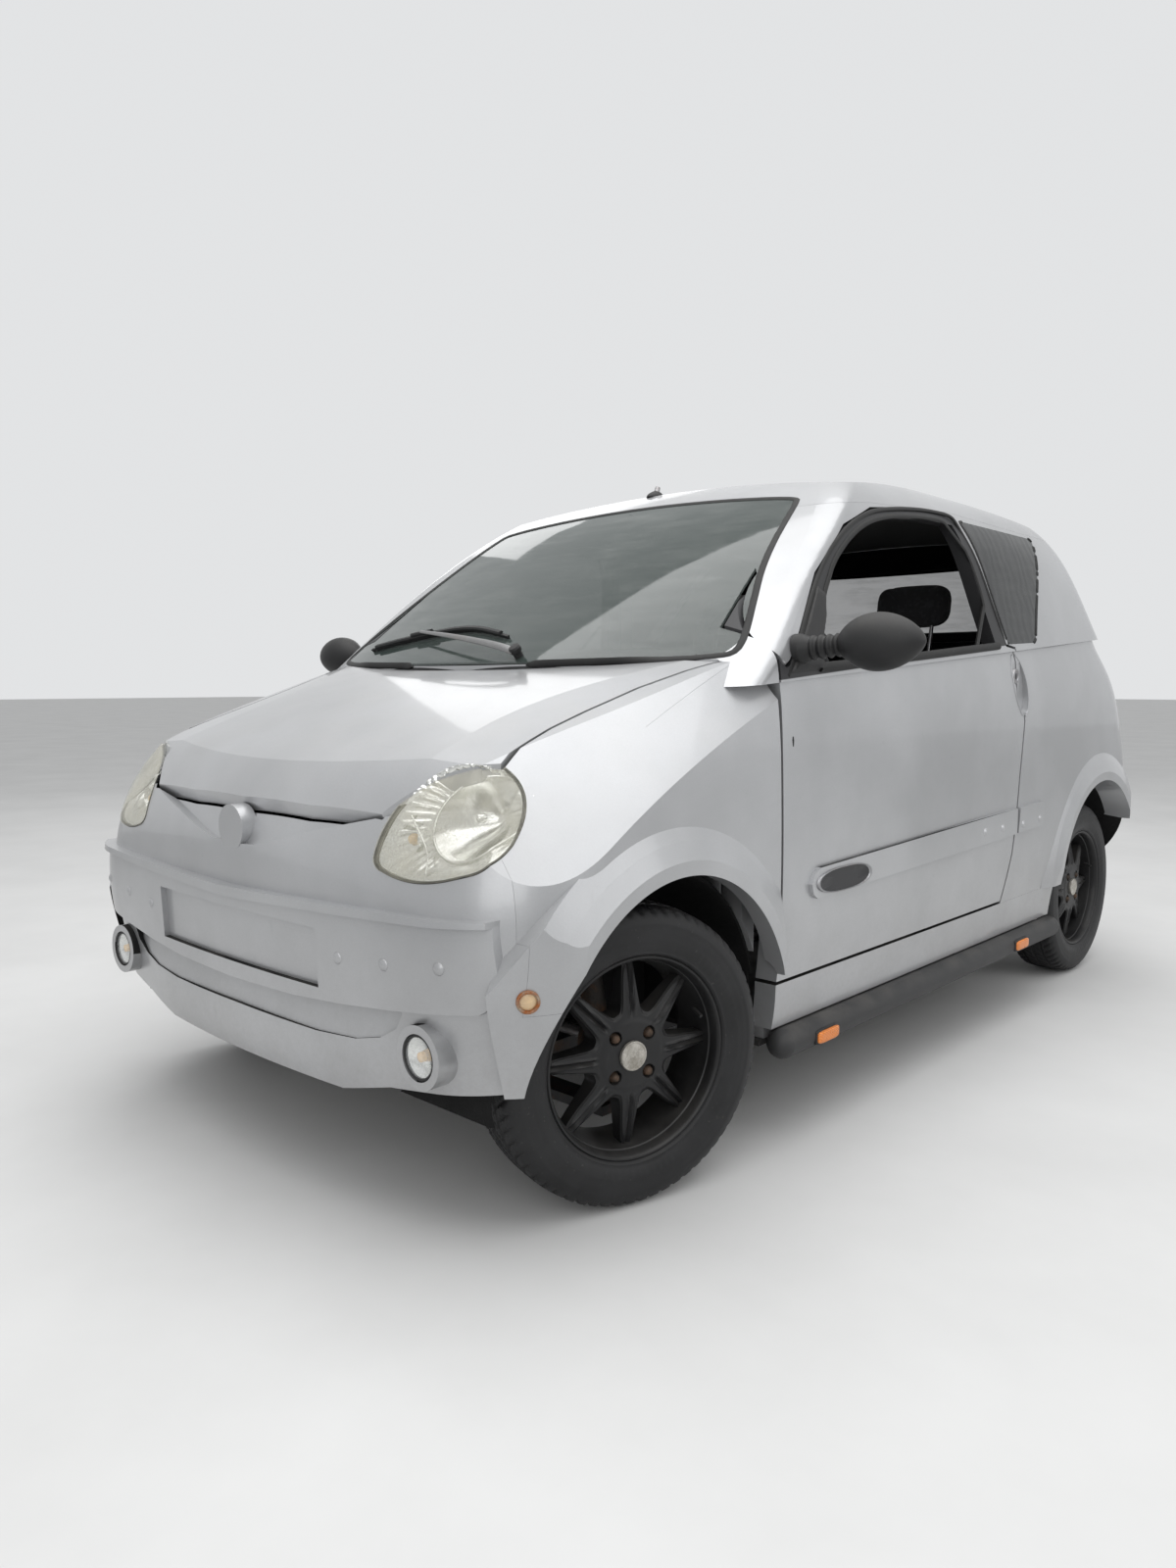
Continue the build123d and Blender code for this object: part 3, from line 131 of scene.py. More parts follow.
class Surface:
    """Points and faces worked out as arrays, gathered before they become one piece."""

    def __init__(self) -> None:
        """Starts with nothing in it."""
        self.points: list[Array] = []
        self.faces: list[Array] = []
        self.slots: list[Array] = []
        self.count = 0

    def add(self, points: Array, quads: Array, slot: int = 0) -> None:
        """Takes in points and the quads between them, in one of the piece's finishes."""
        points = np.asarray(points, float).reshape(-1, 3)
        quads = np.asarray(quads, int).reshape(-1, 4)
        self.points.append(points)
        self.faces.append(quads + self.count)
        self.slots.append(np.full(len(quads), slot))
        self.count += len(points)

    def grid(self, points: Array, around: bool = False, closed: bool = False, slot: int = 0) -> None:
        """Quads over a grid of points.

        Args:
            points: Rows by columns by three.
            around: Whether each row runs back to its start.
            closed: Whether each column does.
            slot: Which of the piece's finishes the faces have.
        """
        rows, columns = points.shape[:2]
        i = np.arange(rows if closed else rows - 1)
        j = np.arange(columns if around else columns - 1)
        i, j = np.meshgrid(i, j, indexing="ij")
        below, right = (i + 1) % rows, (j + 1) % columns
        quads = [i * columns + j, below * columns + j, below * columns + right, i * columns + right]
        self.add(points, np.stack(quads, -1), slot)

    def lathe(
        self, profile: Sequence[tuple[float, float]], centre: Sequence[float], axis: Sequence[float],
        count: int = 48, slot: int = 0,
    ) -> None:
        """A profile turned about an axis: centre + along x axis + radius x (cos u, sin u).

        Args:
            profile: Distances along the axis with radii. A radius of zero closes the form.
            centre: A point on the axis.
            axis: Its direction.
            count: Points round the axis.
            slot: Which of the piece's finishes the faces have.
        """
        ahead, side, upward = square_axes(axis)
        line = np.asarray(profile, float)
        u = np.linspace(0, 2 * np.pi, count, endpoint=False)
        spread = np.cos(u)[:, None] * side + np.sin(u)[:, None] * upward
        points = np.asarray(centre) + line[:, None, 0:1] * ahead + line[:, None, 1:2] * spread[None]
        self.grid(points, around=True, slot=slot)

    def tube(
        self, path: Array, radius: float | Array, count: int = 12, slot: int = 0,
        up: Sequence[float] = (0, 0, 1), flat: float = 1.0, loop: bool = False,
    ) -> None:
        """A round or oval bar along a path: path + radius x (cos u side + flat sin u up).

        Args:
            path: The points of its middle line.
            radius: One radius, or one for each point.
            count: Points round the bar.
            slot: Which of the piece's finishes the faces have.
            up: A vector that is never along the path.
            flat: Height of the section over its width.
            loop: Whether the path returns to its start.
        """
        path = np.asarray(path, float)
        if loop:
            ahead = unit(np.roll(path, -1, 0) - np.roll(path, 1, 0))
        else:
            ahead = unit(np.gradient(path, axis=0))
        side = unit(np.cross(np.asarray(up, float), ahead))
        upward = np.cross(ahead, side)
        size = np.broadcast_to(np.asarray(radius, float), len(path))[:, None, None]
        u = np.linspace(0, 2 * np.pi, count, endpoint=False)[None, :, None]
        rings = path[:, None] + size * (np.cos(u) * side[:, None] + flat * np.sin(u) * upward[:, None])
        if not loop:
            first = np.broadcast_to(path[0], (1, count, 3))
            last = np.broadcast_to(path[-1], (1, count, 3))
            rings = np.concatenate([first, rings, last])
        self.grid(rings, around=True, closed=loop, slot=slot)

    def ribbon(
        self, path: Array, normals: Array, section: Sequence[tuple[float, float]], loop: bool = False,
        slot: int = 0
    ) -> None:
        """A section carried along a path on a surface: path + across x side + height x normal.

        Args:
            path: Points on the surface.
            normals: The surface's normal at each point.
            section: A closed outline of (across, height).
            loop: Whether the path returns to its start.
            slot: Which of the piece's finishes the faces have.
        """
        path = np.asarray(path, float)
        if loop:
            ahead = unit(np.roll(path, -1, 0) - np.roll(path, 1, 0))
        else:
            ahead = unit(np.gradient(path, axis=0))
        side = unit(np.cross(normals, ahead))
        outline = np.asarray(section, float)
        rings = path[:, None] + outline[None, :, 0:1] * side[:, None] + outline[None, :, 1:2] * normals[:,
            None]
        if not loop:
            first = np.broadcast_to(rings[0].mean(0), (1, len(outline), 3))
            last = np.broadcast_to(rings[-1].mean(0), (1, len(outline), 3))
            rings = np.concatenate([first, rings, last])
        self.grid(rings, around=True, closed=loop, slot=slot)

    def pillow(
        self, centre: Sequence[float], half: Sequence[float], axes: tuple[Array, Array, Array] | None = None,
        power: float = 5.0, count: int = 24, slot: int = 0,
    ) -> None:
        """A block with soft edges: the surface where |x/a|^p + |y/b|^p + |z/c|^p = 1.

        Args:
            centre: Its middle.
            half: Its three half sizes.
            axes: The three directions of those sizes.
            power: How square it is, from 2 for an egg.
            count: Points round it.
            slot: Which of the piece's finishes the faces have.
        """
        v = np.linspace(-np.pi / 2, np.pi / 2, count // 2 + 1)[:, None]
        u = np.linspace(0, 2 * np.pi, count, endpoint=False)[None, :]
        ball = np.stack([np.cos(v) * np.cos(u), np.cos(v) * np.sin(u), np.sin(v) + 0 * u], -1)
        reach = (np.abs(ball) ** power).sum(-1, keepdims=True) ** (1 / power)
        local = ball / reach * np.asarray(half)
        turn = np.stack(axes) if axes is not None else np.eye(3)
        self.grid(np.asarray(centre) + local @ turn, around=True, slot=slot)

    def piece(
        self, name: str, finishes: Sequence["Finish"], body: str, slot: str, angle: float = 35.0,
        facing: Sequence[float] | None = None, wall: float = 0.0,
    ) -> bpy.types.Object:
        """Makes the gathered mesh an object of the car.

        Args:
            name: The piece's name.
            finishes: Its finishes, in the order of the faces' slots.
            body: The body that it rides on.
            slot: The record's material slot; not used.
            angle: Edges bent by more than this many degrees stay sharp.
            facing: For an open sheet, a direction that its faces look along.
            wall: Thickness that an open sheet is given, behind its faces.

        Returns:
            The finished object.
        """
        mesh = bpy.data.meshes.new(name)
        points = np.concatenate(self.points)
        faces = np.concatenate(self.faces)
        mesh.from_pydata(points.tolist(), [], faces.tolist())
        mesh.polygons.foreach_set("material_index", np.concatenate(self.slots).astype(np.int32))
        merged(mesh, recalculate=True)
        if facing is not None:
            normals = np.zeros(len(mesh.polygons) * 3)
            mesh.polygons.foreach_get("normal", normals)
            if float((normals.reshape(-1, 3) @ np.asarray(facing, float)).sum()) < 0:
                mesh.flip_normals()
        if wall:
            thicken(mesh, wall)
        mesh.shade_smooth()
        mesh.set_sharp_from_angle(angle=math.radians(angle))
        return placed(name, mesh, finishes, body)


def merged(mesh: bpy.types.Mesh, recalculate: bool, distance: float = 1e-5) -> None:
    """Joins the points of a mesh that lie on each other, and turns its faces outwards if asked."""
    work = bmesh.new()
    work.from_mesh(mesh)
    bmesh.ops.remove_doubles(work, verts=work.verts, dist=distance)
    if recalculate:
        bmesh.ops.recalc_face_normals(work, faces=work.faces)
    work.to_mesh(mesh)
    work.free()


def thicken(mesh: bpy.types.Mesh, wall: float) -> None:
    """Gives an open sheet a wall behind its faces, with the rim closed."""
    work = bmesh.new()
    work.from_mesh(mesh)
    bmesh.ops.solidify(work, geom=work.faces[:], thickness=-wall)
    bmesh.ops.recalc_face_normals(work, faces=work.faces)
    work.to_mesh(mesh)
    work.free()


def placed(
    name: str, mesh: bpy.types.Mesh, finishes: Sequence["Finish"], body: str
) -> bpy.types.Object:
    """Puts a mesh in the scene as a piece that rides on a body and has its finishes."""
    obj = bpy.data.objects.new(name, mesh)
    bpy.context.scene.collection.objects.link(obj)
    for finish in finishes:
        mesh.materials.append(finish.material())
    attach(obj, body)
    log.info("piece %s rides on %s, %d faces", name, body, len(mesh.polygons))
    return obj


class Skin:
    """The outside of one or more CAD nodes, met by lines along an axis."""

    def __init__(self, *nodes: str) -> None:
        """Reads the triangles of the nodes."""
        groups = [node_triangles(node) for node in nodes]
        self.triangles = np.concatenate(groups)

    def meet(self, places: Array, axis: int, sign: int) -> tuple[Array, Array]:
        """Where lines along an axis first meet the skin, coming from outside.

        A line meets a triangle where its place, written as a mix of the three corners, has no
        negative share; the outermost of those points is kept. Places that meet nothing take the
        point of the nearest place that does.

        Args:
            places: One row each, with the two coordinates other than the axis, in their order.
            axis: 0, 1 or 2 for lines along X, Y or Z.
            sign: 1 where the outside is on the positive side, else -1.

        Returns:
            The points met and the skin's outward normals there.
        """
        others = [k for k in range(3) if k != axis]
        a, b, c = (self.triangles[:, k] for k in range(3))
        flat_a, flat_b, flat_c = a[:, others], b[:, others], c[:, others]
        one, two = flat_b - flat_a, flat_c - flat_a
        area = one[:, 0] * two[:, 1] - one[:, 1] * two[:, 0]
        ready = np.abs(area) > 1e-12
        a, b, c, flat_a, one, two, area = (x[ready] for x in (a, b, c, flat_a, one, two, area))
        normals = unit(np.cross(b - a, c - a))
        offset = places[:, None] - flat_a[None]
        v = (offset[..., 0] * two[:, 1] - offset[..., 1] * two[:, 0]) / area
        w = (one[:, 0] * offset[..., 1] - one[:, 1] * offset[..., 0]) / area
        depth = a[:, axis] + v * (b - a)[:, axis] + w * (c - a)[:, axis]
        inside = (v >= -1e-6) & (w >= -1e-6) & (v + w <= 1 + 1e-6)
        score = np.where(inside, depth * sign, -np.inf)
        best = score.argmax(1)
        hit = np.isfinite(score.max(1))
        rows = np.arange(len(places))
        points = np.empty((len(places), 3))
        points[:, others] = places
        points[:, axis] = depth[rows, best]
        facing = normals[best]
        if not hit.all():
            near = np.linalg.norm(places[:, None] - places[hit][None], axis=-1).argmin(1)
            points = np.where(hit[:, None], points, points[hit][near])
            facing = np.where(hit[:, None], facing, facing[hit][near])
        return points, facing


def node_triangles(node: str) -> Array:
    """The triangles of a CAD node, as an array of triangles by corners by three."""
    mesh = frame["nodes"][node].data
    mesh.calc_loop_triangles()
    corners = np.zeros(len(mesh.loop_triangles) * 3, np.int32)
    mesh.loop_triangles.foreach_get("vertices", corners)
    points = np.zeros(len(mesh.vertices) * 3)
    mesh.vertices.foreach_get("co", points)
    return points.reshape(-1, 3)[corners].reshape(-1, 3, 3)


class Graph:
    """A node tree with short ways to add to it."""

    def __init__(self, tree: bpy.types.NodeTree) -> None:
        """Holds the tree."""
        self.tree = tree

    def node(self, kind: str, inputs: dict | None = None, **settings: object) -> bpy.types.Node:
        """Adds a node.

        Args:
            kind: The node's type, without its leading ShaderNode.
            inputs: Values for its inputs, where a socket is linked.
            settings: Values for its own properties.

        Returns:
            The new node.
        """
        made = self.tree.nodes.new("ShaderNode" + kind)
        for name, value in settings.items():
            setattr(made, name, value)
        for name, value in (inputs or {}).items():
            if isinstance(value, bpy.types.NodeSocket):
                self.tree.links.new(value, made.inputs[name])
            else:
                made.inputs[name].default_value = value
        return made

    def math(self, operation: str, *values: object, clamp: bool = False) -> bpy.types.NodeSocket:
        """One step of arithmetic on values or sockets."""
        made = self.node("Math", dict(enumerate(values)), operation=operation, use_clamp=clamp)
        return made.outputs[0]

    def mix(self, share: object, first: object, second: object) -> bpy.types.NodeSocket:
        """A blend of two colours, each a socket or three numbers."""
        made = self.node("Mix", data_type="RGBA")
        for index, value in ((0, share), (6, first), (7, second)):
            if isinstance(value, bpy.types.NodeSocket):
                self.tree.links.new(value, made.inputs[index])
            else:
                made.inputs[index].default_value = value if index == 0 else (*value, 1)
        return made.outputs[2]

    def noise(self, vector: object, scale: float, detail: float = 3,
            rough: float = 0.5) -> bpy.types.NodeSocket:
        """Cloudy noise from 0 to 1, of a size of one over scale metres."""
        made = self.node("TexNoise", {"Vector": vector, "Scale": scale, "Detail": detail, "Roughness": rough})
        return made.outputs["Fac"]

    def span(self, value: object, low: float, high: float, to_low: float = 0,
            to_high: float = 1) -> bpy.types.NodeSocket:
        """A value brought from one range to another and held inside it."""
        made = self.node("MapRange", {0: value, 1: low, 2: high, 3: to_low, 4: to_high}, clamp=True)
        return made.outputs[0]

    def parts(self, vector: object) -> bpy.types.Node:
        """The X, Y and Z of a vector."""
        return self.node("SeparateXYZ", {0: vector})

    def place(self) -> bpy.types.NodeSocket:
        """Object coordinates, which are the car's own metres."""
        return self.node("TexCoord").outputs["Object"]

    def bump(self, height: object, strength: float, distance: float,
            normal: object = None) -> bpy.types.NodeSocket:
        """A normal bent by a height in metres."""
        inputs = {"Height": height, "Strength": strength, "Distance": distance}
        if normal is not None:
            inputs["Normal"] = normal
        return self.node("Bump", inputs).outputs[0]


class Effect(Enum):
    """The effects that several finishes share, each one a node group."""

    DUST = "dust"
    GRIME = "grime"
    GRAIN = "grain"
    SCRATCHES = "scratches"
    WEAVE = "weave"
    FLAKES = "flakes"


def group_tree(name: str, numbers: dict[str, float], output: str) -> tuple[Graph, bpy.types.Node,
        bpy.types.Node]:
    """An empty node group with a Vector input, number inputs and one number output."""
    tree = bpy.data.node_groups.new(name, "ShaderNodeTree")
    tree.interface.new_socket(name="Vector", in_out="INPUT", socket_type="NodeSocketVector")
    for label, value in numbers.items():
        made = tree.interface.new_socket(name=label, in_out="INPUT", socket_type="NodeSocketFloat")
        made.default_value = value
    tree.interface.new_socket(name=output, in_out="OUTPUT", socket_type="NodeSocketFloat")
    return Graph(tree), tree.nodes.new("NodeGroupInput"), tree.nodes.new("NodeGroupOutput")


def dust_group() -> bpy.types.NodeTree:
    """Dust: the face's upward tilt, softened, times cloudy noise and an amount."""
    g, source, sink = group_tree("dust", {"Scale": 9.0, "Amount": 0.3}, "Mask")
    tilt = g.parts(g.node("NewGeometry").outputs["Normal"]).outputs[2]
    facing = g.span(tilt, 0.1, 0.95)
    cloud = g.noise(source.outputs["Vector"], 1.0, 6, 0.6)
    noise = g.node("TexNoise",
        {"Vector": source.outputs["Vector"], "Scale": source.outputs["Scale"], "Detail": 6.0})
    mixed = g.math("MULTIPLY", g.span(noise.outputs["Fac"], 0.35, 0.7), g.span(cloud, 0.3, 0.7, 0.5, 1))
    amount = g.math("MULTIPLY", mixed, source.outputs["Amount"])
    g.tree.links.new(g.math("MULTIPLY", amount, facing, clamp=True), sink.inputs[0])
    return g.tree


def grime_group() -> bpy.types.NodeTree:
    """Road dirt: strongest at the ground and gone at a height, broken up by two sizes of noise."""
    g, source, sink = group_tree("grime", {"Height": 0.5, "Amount": 0.5}, "Mask")
    height = g.parts(source.outputs["Vector"]).outputs[2]
    low = g.math("SUBTRACT", 1.0, g.math("DIVIDE", height, source.outputs["Height"]), clamp=True)
    broad = g.span(g.noise(source.outputs["Vector"], 5.0, 5, 0.6), 0.35, 0.65)
    fine = g.span(g.noise(source.outputs["Vector"], 90.0, 3, 0.7), 0.3, 0.7)
    spread = g.math("MULTIPLY", g.math("ADD", g.math("MULTIPLY", broad, 0.6), g.math("MULTIPLY", fine, 0.4)),
        low)
    g.tree.links.new(g.math("MULTIPLY", spread, source.outputs["Amount"], clamp=True), sink.inputs[0])
    return g.tree


def grain_group() -> bpy.types.NodeTree:
    """Moulded grain: the distance to the nearest cell centre of a jittered pattern, plus fine noise."""
    g, source, sink = group_tree("grain", {"Scale": 600.0}, "Height")
    cells = g.node("TexVoronoi", {"Vector": source.outputs["Vector"], "Scale": source.outputs["Scale"]})
    fine = g.node("TexNoise",
        {"Vector": source.outputs["Vector"], "Scale": source.outputs["Scale"], "Detail": 2.0})
    height = g.math("ADD", g.math("MULTIPLY", cells.outputs["Distance"], 0.7),
        g.math("MULTIPLY", fine.outputs["Fac"], 0.3))
    g.tree.links.new(height, sink.inputs[0])
    return g.tree


def scratches_group() -> bpy.types.NodeTree:
    """Fine scratches: noise drawn out along one way, of which only the highest crests stay."""
    g, source, sink = group_tree("scratches", {"Scale": 30.0, "Amount": 0.3}, "Mask")
    masks = []
    for turn, stretch in ((0.35, (1, 1, 14)), (1.1, (16, 1, 1)), (2.2, (1, 12, 1))):
        bent = g.node("Mapping",
            {"Vector": source.outputs["Vector"], "Rotation": (turn, turn * 0.7, 0.2), "Scale": stretch})
        made = g.node("TexNoise",
            {"Vector": bent.outputs[0], "Scale": source.outputs["Scale"], "Detail": 1.0})
        masks.append(g.span(made.outputs["Fac"], 0.70, 0.76))
    total = g.math("MAXIMUM", g.math("MAXIMUM", masks[0], masks[1]), masks[2])
    g.tree.links.new(g.math("MULTIPLY", total, source.outputs["Amount"], clamp=True), sink.inputs[0])
    return g.tree


def weave_group() -> bpy.types.NodeTree:
    """Woven cloth: two square sets of threads, sin(x) and sin(y + z), the higher one on top."""
    g, source, sink = group_tree("weave", {"Threads": 700.0}, "Height")
    xyz = g.parts(source.outputs["Vector"])
    across = g.math("MULTIPLY", xyz.outputs[0], g.math("MULTIPLY", source.outputs["Threads"], 6.2832))
    run = g.math("ADD", xyz.outputs[1], xyz.outputs[2])
    along = g.math("MULTIPLY", run, g.math("MULTIPLY", source.outputs["Threads"], 6.2832))
    warp = g.math("MULTIPLY", g.math("SINE", across), g.math("SINE", g.math("MULTIPLY", along, 0.5)))
    weft = g.math("MULTIPLY", g.math("SINE", along), g.math("COSINE", g.math("MULTIPLY", across, 0.5)))
    height = g.math("MAXIMUM", warp, weft)
    g.tree.links.new(g.math("MULTIPLY_ADD", height, 0.5, 0.5), sink.inputs[0])
    return g.tree


def flakes_group() -> bpy.types.NodeTree:
    """Metal flakes in paint: one random value for each cell of a fine pattern."""
    g, source, sink = group_tree("flakes", {"Scale": 1400.0}, "Value")
    cells = g.node("TexVoronoi", {"Vector": source.outputs["Vector"], "Scale": source.outputs["Scale"]})
    g.tree.links.new(g.parts(cells.outputs["Color"]).outputs[0], sink.inputs[0])
    return g.tree


@lru_cache(maxsize=None)
def effect_tree(effect: Effect) -> bpy.types.NodeTree:
    """The node group of an effect, made once."""
    makers = {
        Effect.DUST: dust_group,
        Effect.GRIME: grime_group,
        Effect.GRAIN: grain_group,
        Effect.SCRATCHES: scratches_group,
        Effect.WEAVE: weave_group,
        Effect.FLAKES: flakes_group,
    }
    return makers[effect]()


def use_effect(g: Graph, effect: Effect, vector: object, **numbers: float) -> bpy.types.NodeSocket:
    """Places an effect's group in a material and returns what it puts out."""
    made = g.tree.nodes.new("ShaderNodeGroup")
    made.node_tree = effect_tree(effect)
    g.tree.links.new(vector, made.inputs["Vector"])
    for name, value in numbers.items():
        made.inputs[name].default_value = value
    return made.outputs[0]


@lru_cache(maxsize=None)
def finish_material(finish: "Finish") -> bpy.types.Material:
    """The material of a finish, made once."""
    material = bpy.data.materials.new(finish.name)
    material.use_nodes = True
    tree = material.node_tree
    finish.dress(Graph(tree), tree.nodes["Principled BSDF"])
    material.diffuse_color = (*finish.colour, 1)
    return material


@dataclass(frozen=True)
class Finish:
    """A finish: its name, its colour and how dull it is."""

    name: str
    colour: Colour
    rough: float = 0.5

    def material(self) -> bpy.types.Material:
        """The Blender material of this finish."""
        return finish_material(self)

    def dress(self, g: Graph, shader: bpy.types.Node) -> None:
        """Sets up the shader. Each kind of finish has its own way."""
        raise NotImplementedError

    def join(self, g: Graph, shader: bpy.types.Node, **sockets: object) -> None:
        """Links or sets inputs of the shader, named with underscores for spaces."""
        for label, value in sockets.items():
            name = label.replace("_", " ")
            if isinstance(value, bpy.types.NodeSocket):
                g.tree.links.new(value, shader.inputs[name])
            else:
                shader.inputs[name].default_value = value


@dataclass(frozen=True)
class Paint(Finish):
    """Metallic silver paint under a clear coat, with dust above and road dirt below.

    Above a rising line the paint gives way to a matte black window frame when frame_height is set:
    the line's height is frame_height + frame_rise x Y.
    """

    metal: float = 0.62
    dirt_height: float = 0.55
    dirt: float = 0.5
    frame_height: float = 0.0
    frame_rise: float = 0.0

    def dress(self, g: Graph, shader: bpy.types.Node) -> None:
        """Flakes and cloud change the silver, dust and dirt dull it, and the frame mask blackens it."""
        place = g.place()
        flakes = use_effect(g, Effect.FLAKES, place, Scale=1500.0)
        cloud = g.noise(place, 2.2, 4, 0.55)
        dust = use_effect(g, Effect.DUST, place, Scale=7.0, Amount=0.16)
        grime = use_effect(g, Effect.GRIME, place, Height=self.dirt_height, Amount=self.dirt)
        scratches = use_effect(g, Effect.SCRATCHES, place, Scale=34.0, Amount=0.5)
        bright = tuple(min(1.0, c * 1.13) for c in self.colour)
        dark = tuple(c * 0.90 for c in self.colour)
        silver = g.mix(g.span(cloud, 0.35, 0.65), dark, bright)
        silver = g.mix(g.span(flakes, 0.0, 1.0, 0.0, 0.22), silver, tuple(c * 0.62 for c in self.colour))
        silver = g.mix(dust, silver, (0.46, 0.44, 0.40))
        silver = g.mix(grime, silver, (0.155, 0.135, 0.115))
        rough = g.math("ADD", g.math("MULTIPLY", cloud, 0.08), self.rough)
        rough = g.math("ADD", rough, g.math("MULTIPLY", g.math("ADD", dust, grime), 0.30))
        rough = g.math("ADD", rough, g.math("MULTIPLY", scratches, 0.16), clamp=True)
        metal = g.math("SUBTRACT", self.metal, g.math("MULTIPLY", grime, 0.5), clamp=True)
        coat = g.math("SUBTRACT", 0.58, g.math("MULTIPLY", g.math("ADD", dust, grime), 0.7), clamp=True)
        peel = g.math("ADD", g.noise(place, 210.0, 1), g.math("MULTIPLY", g.noise(place, 3.0, 2), 3.0))
        if self.frame_height:
            xyz = g.parts(place)
            line = g.math("MULTIPLY_ADD", xyz.outputs[1], self.frame_rise, self.frame_height)
            above = g.math("SUBTRACT", xyz.outputs[2], line)
            black = g.span(above, -0.0008, 0.0008)
            silver = g.mix(black, silver,
                g.mix(g.span(cloud, 0.3, 0.7), (0.014, 0.014, 0.015), (0.024, 0.024, 0.026)))
            rough = g.math("MULTIPLY_ADD", black, g.math("SUBTRACT", 0.55, rough), rough)
            metal = g.math("MULTIPLY", metal, g.math("SUBTRACT", 1.0, black))
            coat = g.math("MULTIPLY", coat, g.math("SUBTRACT", 1.0, black))
        self.join(
            g, shader, Base_Color=silver, Metallic=metal, Roughness=rough, Coat_Weight=coat,
            Coat_Roughness=0.07,
            Coat_IOR=1.5, Normal=g.bump(peel, 0.22, 0.0004),
        )


@dataclass(frozen=True)
class Plastic(Finish):
    """Moulded plastic with a grain, faded in patches and dusty on top."""

    grain: float = 650.0
    depth: float = 0.00022
    fade: float = 0.35
    dust: float = 0.35
    gloss: float = 0.34

    def dress(self, g: Graph, shader: bpy.types.Node) -> None:
        """Cloud fades the colour, the grain group gives the bump and thins the gloss."""
        place = g.place()
        grain = use_effect(g, Effect.GRAIN, place, Scale=self.grain)
        cloud = g.span(g.noise(place, 6.0, 5, 0.6), 0.35, 0.68)
        dust = use_effect(g, Effect.DUST, place, Scale=14.0, Amount=self.dust)
        scratches = use_effect(g, Effect.SCRATCHES, place, Scale=45.0, Amount=0.5)
        pale = tuple(c + self.fade * (0.10 - c) * 0.25 for c in self.colour)
        colour = g.mix(cloud, self.colour, pale)
        colour = g.mix(dust, colour, (0.30, 0.28, 0.25))
        colour = g.mix(g.math("MULTIPLY", scratches, 0.35), colour,
            tuple(min(1, c * 2 + 0.03) for c in self.colour))
        rough = g.math("ADD", g.span(cloud, 0, 1, self.rough - 0.06, self.rough + 0.06),
            g.math("MULTIPLY", dust, 0.3))
        rough = g.math("ADD", rough, g.math("MULTIPLY", grain, 0.06), clamp=True)
        self.join(
            g, shader, Base_Color=colour, Roughness=rough, Specular_IOR_Level=self.gloss,
            Normal=g.bump(grain, 0.6, self.depth),
        )


@dataclass(frozen=True)
class Rubber(Finish):
    """Tyre or seal rubber, greyed by use and with pale dust in patches."""

    dust: float = 0.3
    centre: tuple[float, float, float] | None = None

    def dress(self, g: Graph, shader: bpy.types.Node) -> None:
        """Noise greys the rubber and dust lies over it. The bump is a fine skin."""
        place = g.place()
        cloud = g.span(g.noise(place, 11.0, 6, 0.65), 0.3, 0.7)
        fine = g.noise(place, 420.0, 3, 0.6)
        specks = g.span(g.noise(place, 130.0, 2, 0.8), 0.66, 0.74)
        dust = use_effect(g, Effect.DUST, place, Scale=18.0, Amount=self.dust)
        colour = g.mix(cloud, self.colour, tuple(c * 1.9 + 0.004 for c in self.colour))
        colour = g.mix(dust, colour, (0.17, 0.155, 0.135))
        colour = g.mix(g.math("MULTIPLY", specks, self.dust), colour, (0.34, 0.32, 0.29))
        rough = g.math("ADD", g.span(cloud, 0, 1, self.rough - 0.08, self.rough + 0.08),
            g.math("MULTIPLY", dust, 0.3), clamp=True)
        self.join(
            g, shader, Base_Color=colour, Roughness=rough, Specular_IOR_Level=0.32,
            Normal=g.bump(fine, 0.5, 0.0003),
        )


@dataclass(frozen=True)
class Glass(Finish):
    """Window glass: a tint that shows more at a glancing view, with faint dust and wiped streaks."""

    facing_alpha: float = 0.30
    edge_alpha: float = 0.92
    dust: float = 0.10
    gloss: float = 0.75
    ripple: float = 0.0

    def dress(self, g: Graph, shader: bpy.types.Node) -> None:
        """Alpha follows the layer weight between two values, and dust adds to it."""
        place = g.place()
        weight = g.node("LayerWeight", {"Blend": 0.42}).outputs["Facing"]
        cloud = g.noise(place, 5.0, 5, 0.65)
        streak = g.noise(g.node("Mapping", {"Vector": place, "Scale": (1, 1, 9)}).outputs[0], 7.0, 4, 0.6)
        film = g.math("MULTIPLY", g.span(g.math("MULTIPLY", cloud, streak), 0.2, 0.45), self.dust, clamp=True)
        alpha = g.math("ADD", g.span(weight, 0.0, 0.85, self.facing_alpha, self.edge_alpha), film, clamp=True)
        colour = g.mix(film, self.colour, (0.34, 0.34, 0.32))
        rough = g.math("ADD", self.rough, g.math("MULTIPLY", film, 0.5), clamp=True)
        height = g.noise(place, 1.3, 1)
        depth = 0.004
        if self.ripple:
            bend = g.math("MULTIPLY", g.noise(place, 14.0, 2, 0.5), 9.0)
            height = g.math("SINE", g.math("ADD", g.math("MULTIPLY", g.parts(place).outputs[1], 150.0), bend))
            depth = self.ripple
        self.join(
            g, shader, Base_Color=colour, Alpha=alpha, Roughness=rough, Metallic=0.0, IOR=1.52,
            Specular_IOR_Level=self.gloss, Normal=g.bump(height, 0.15, depth),
        )


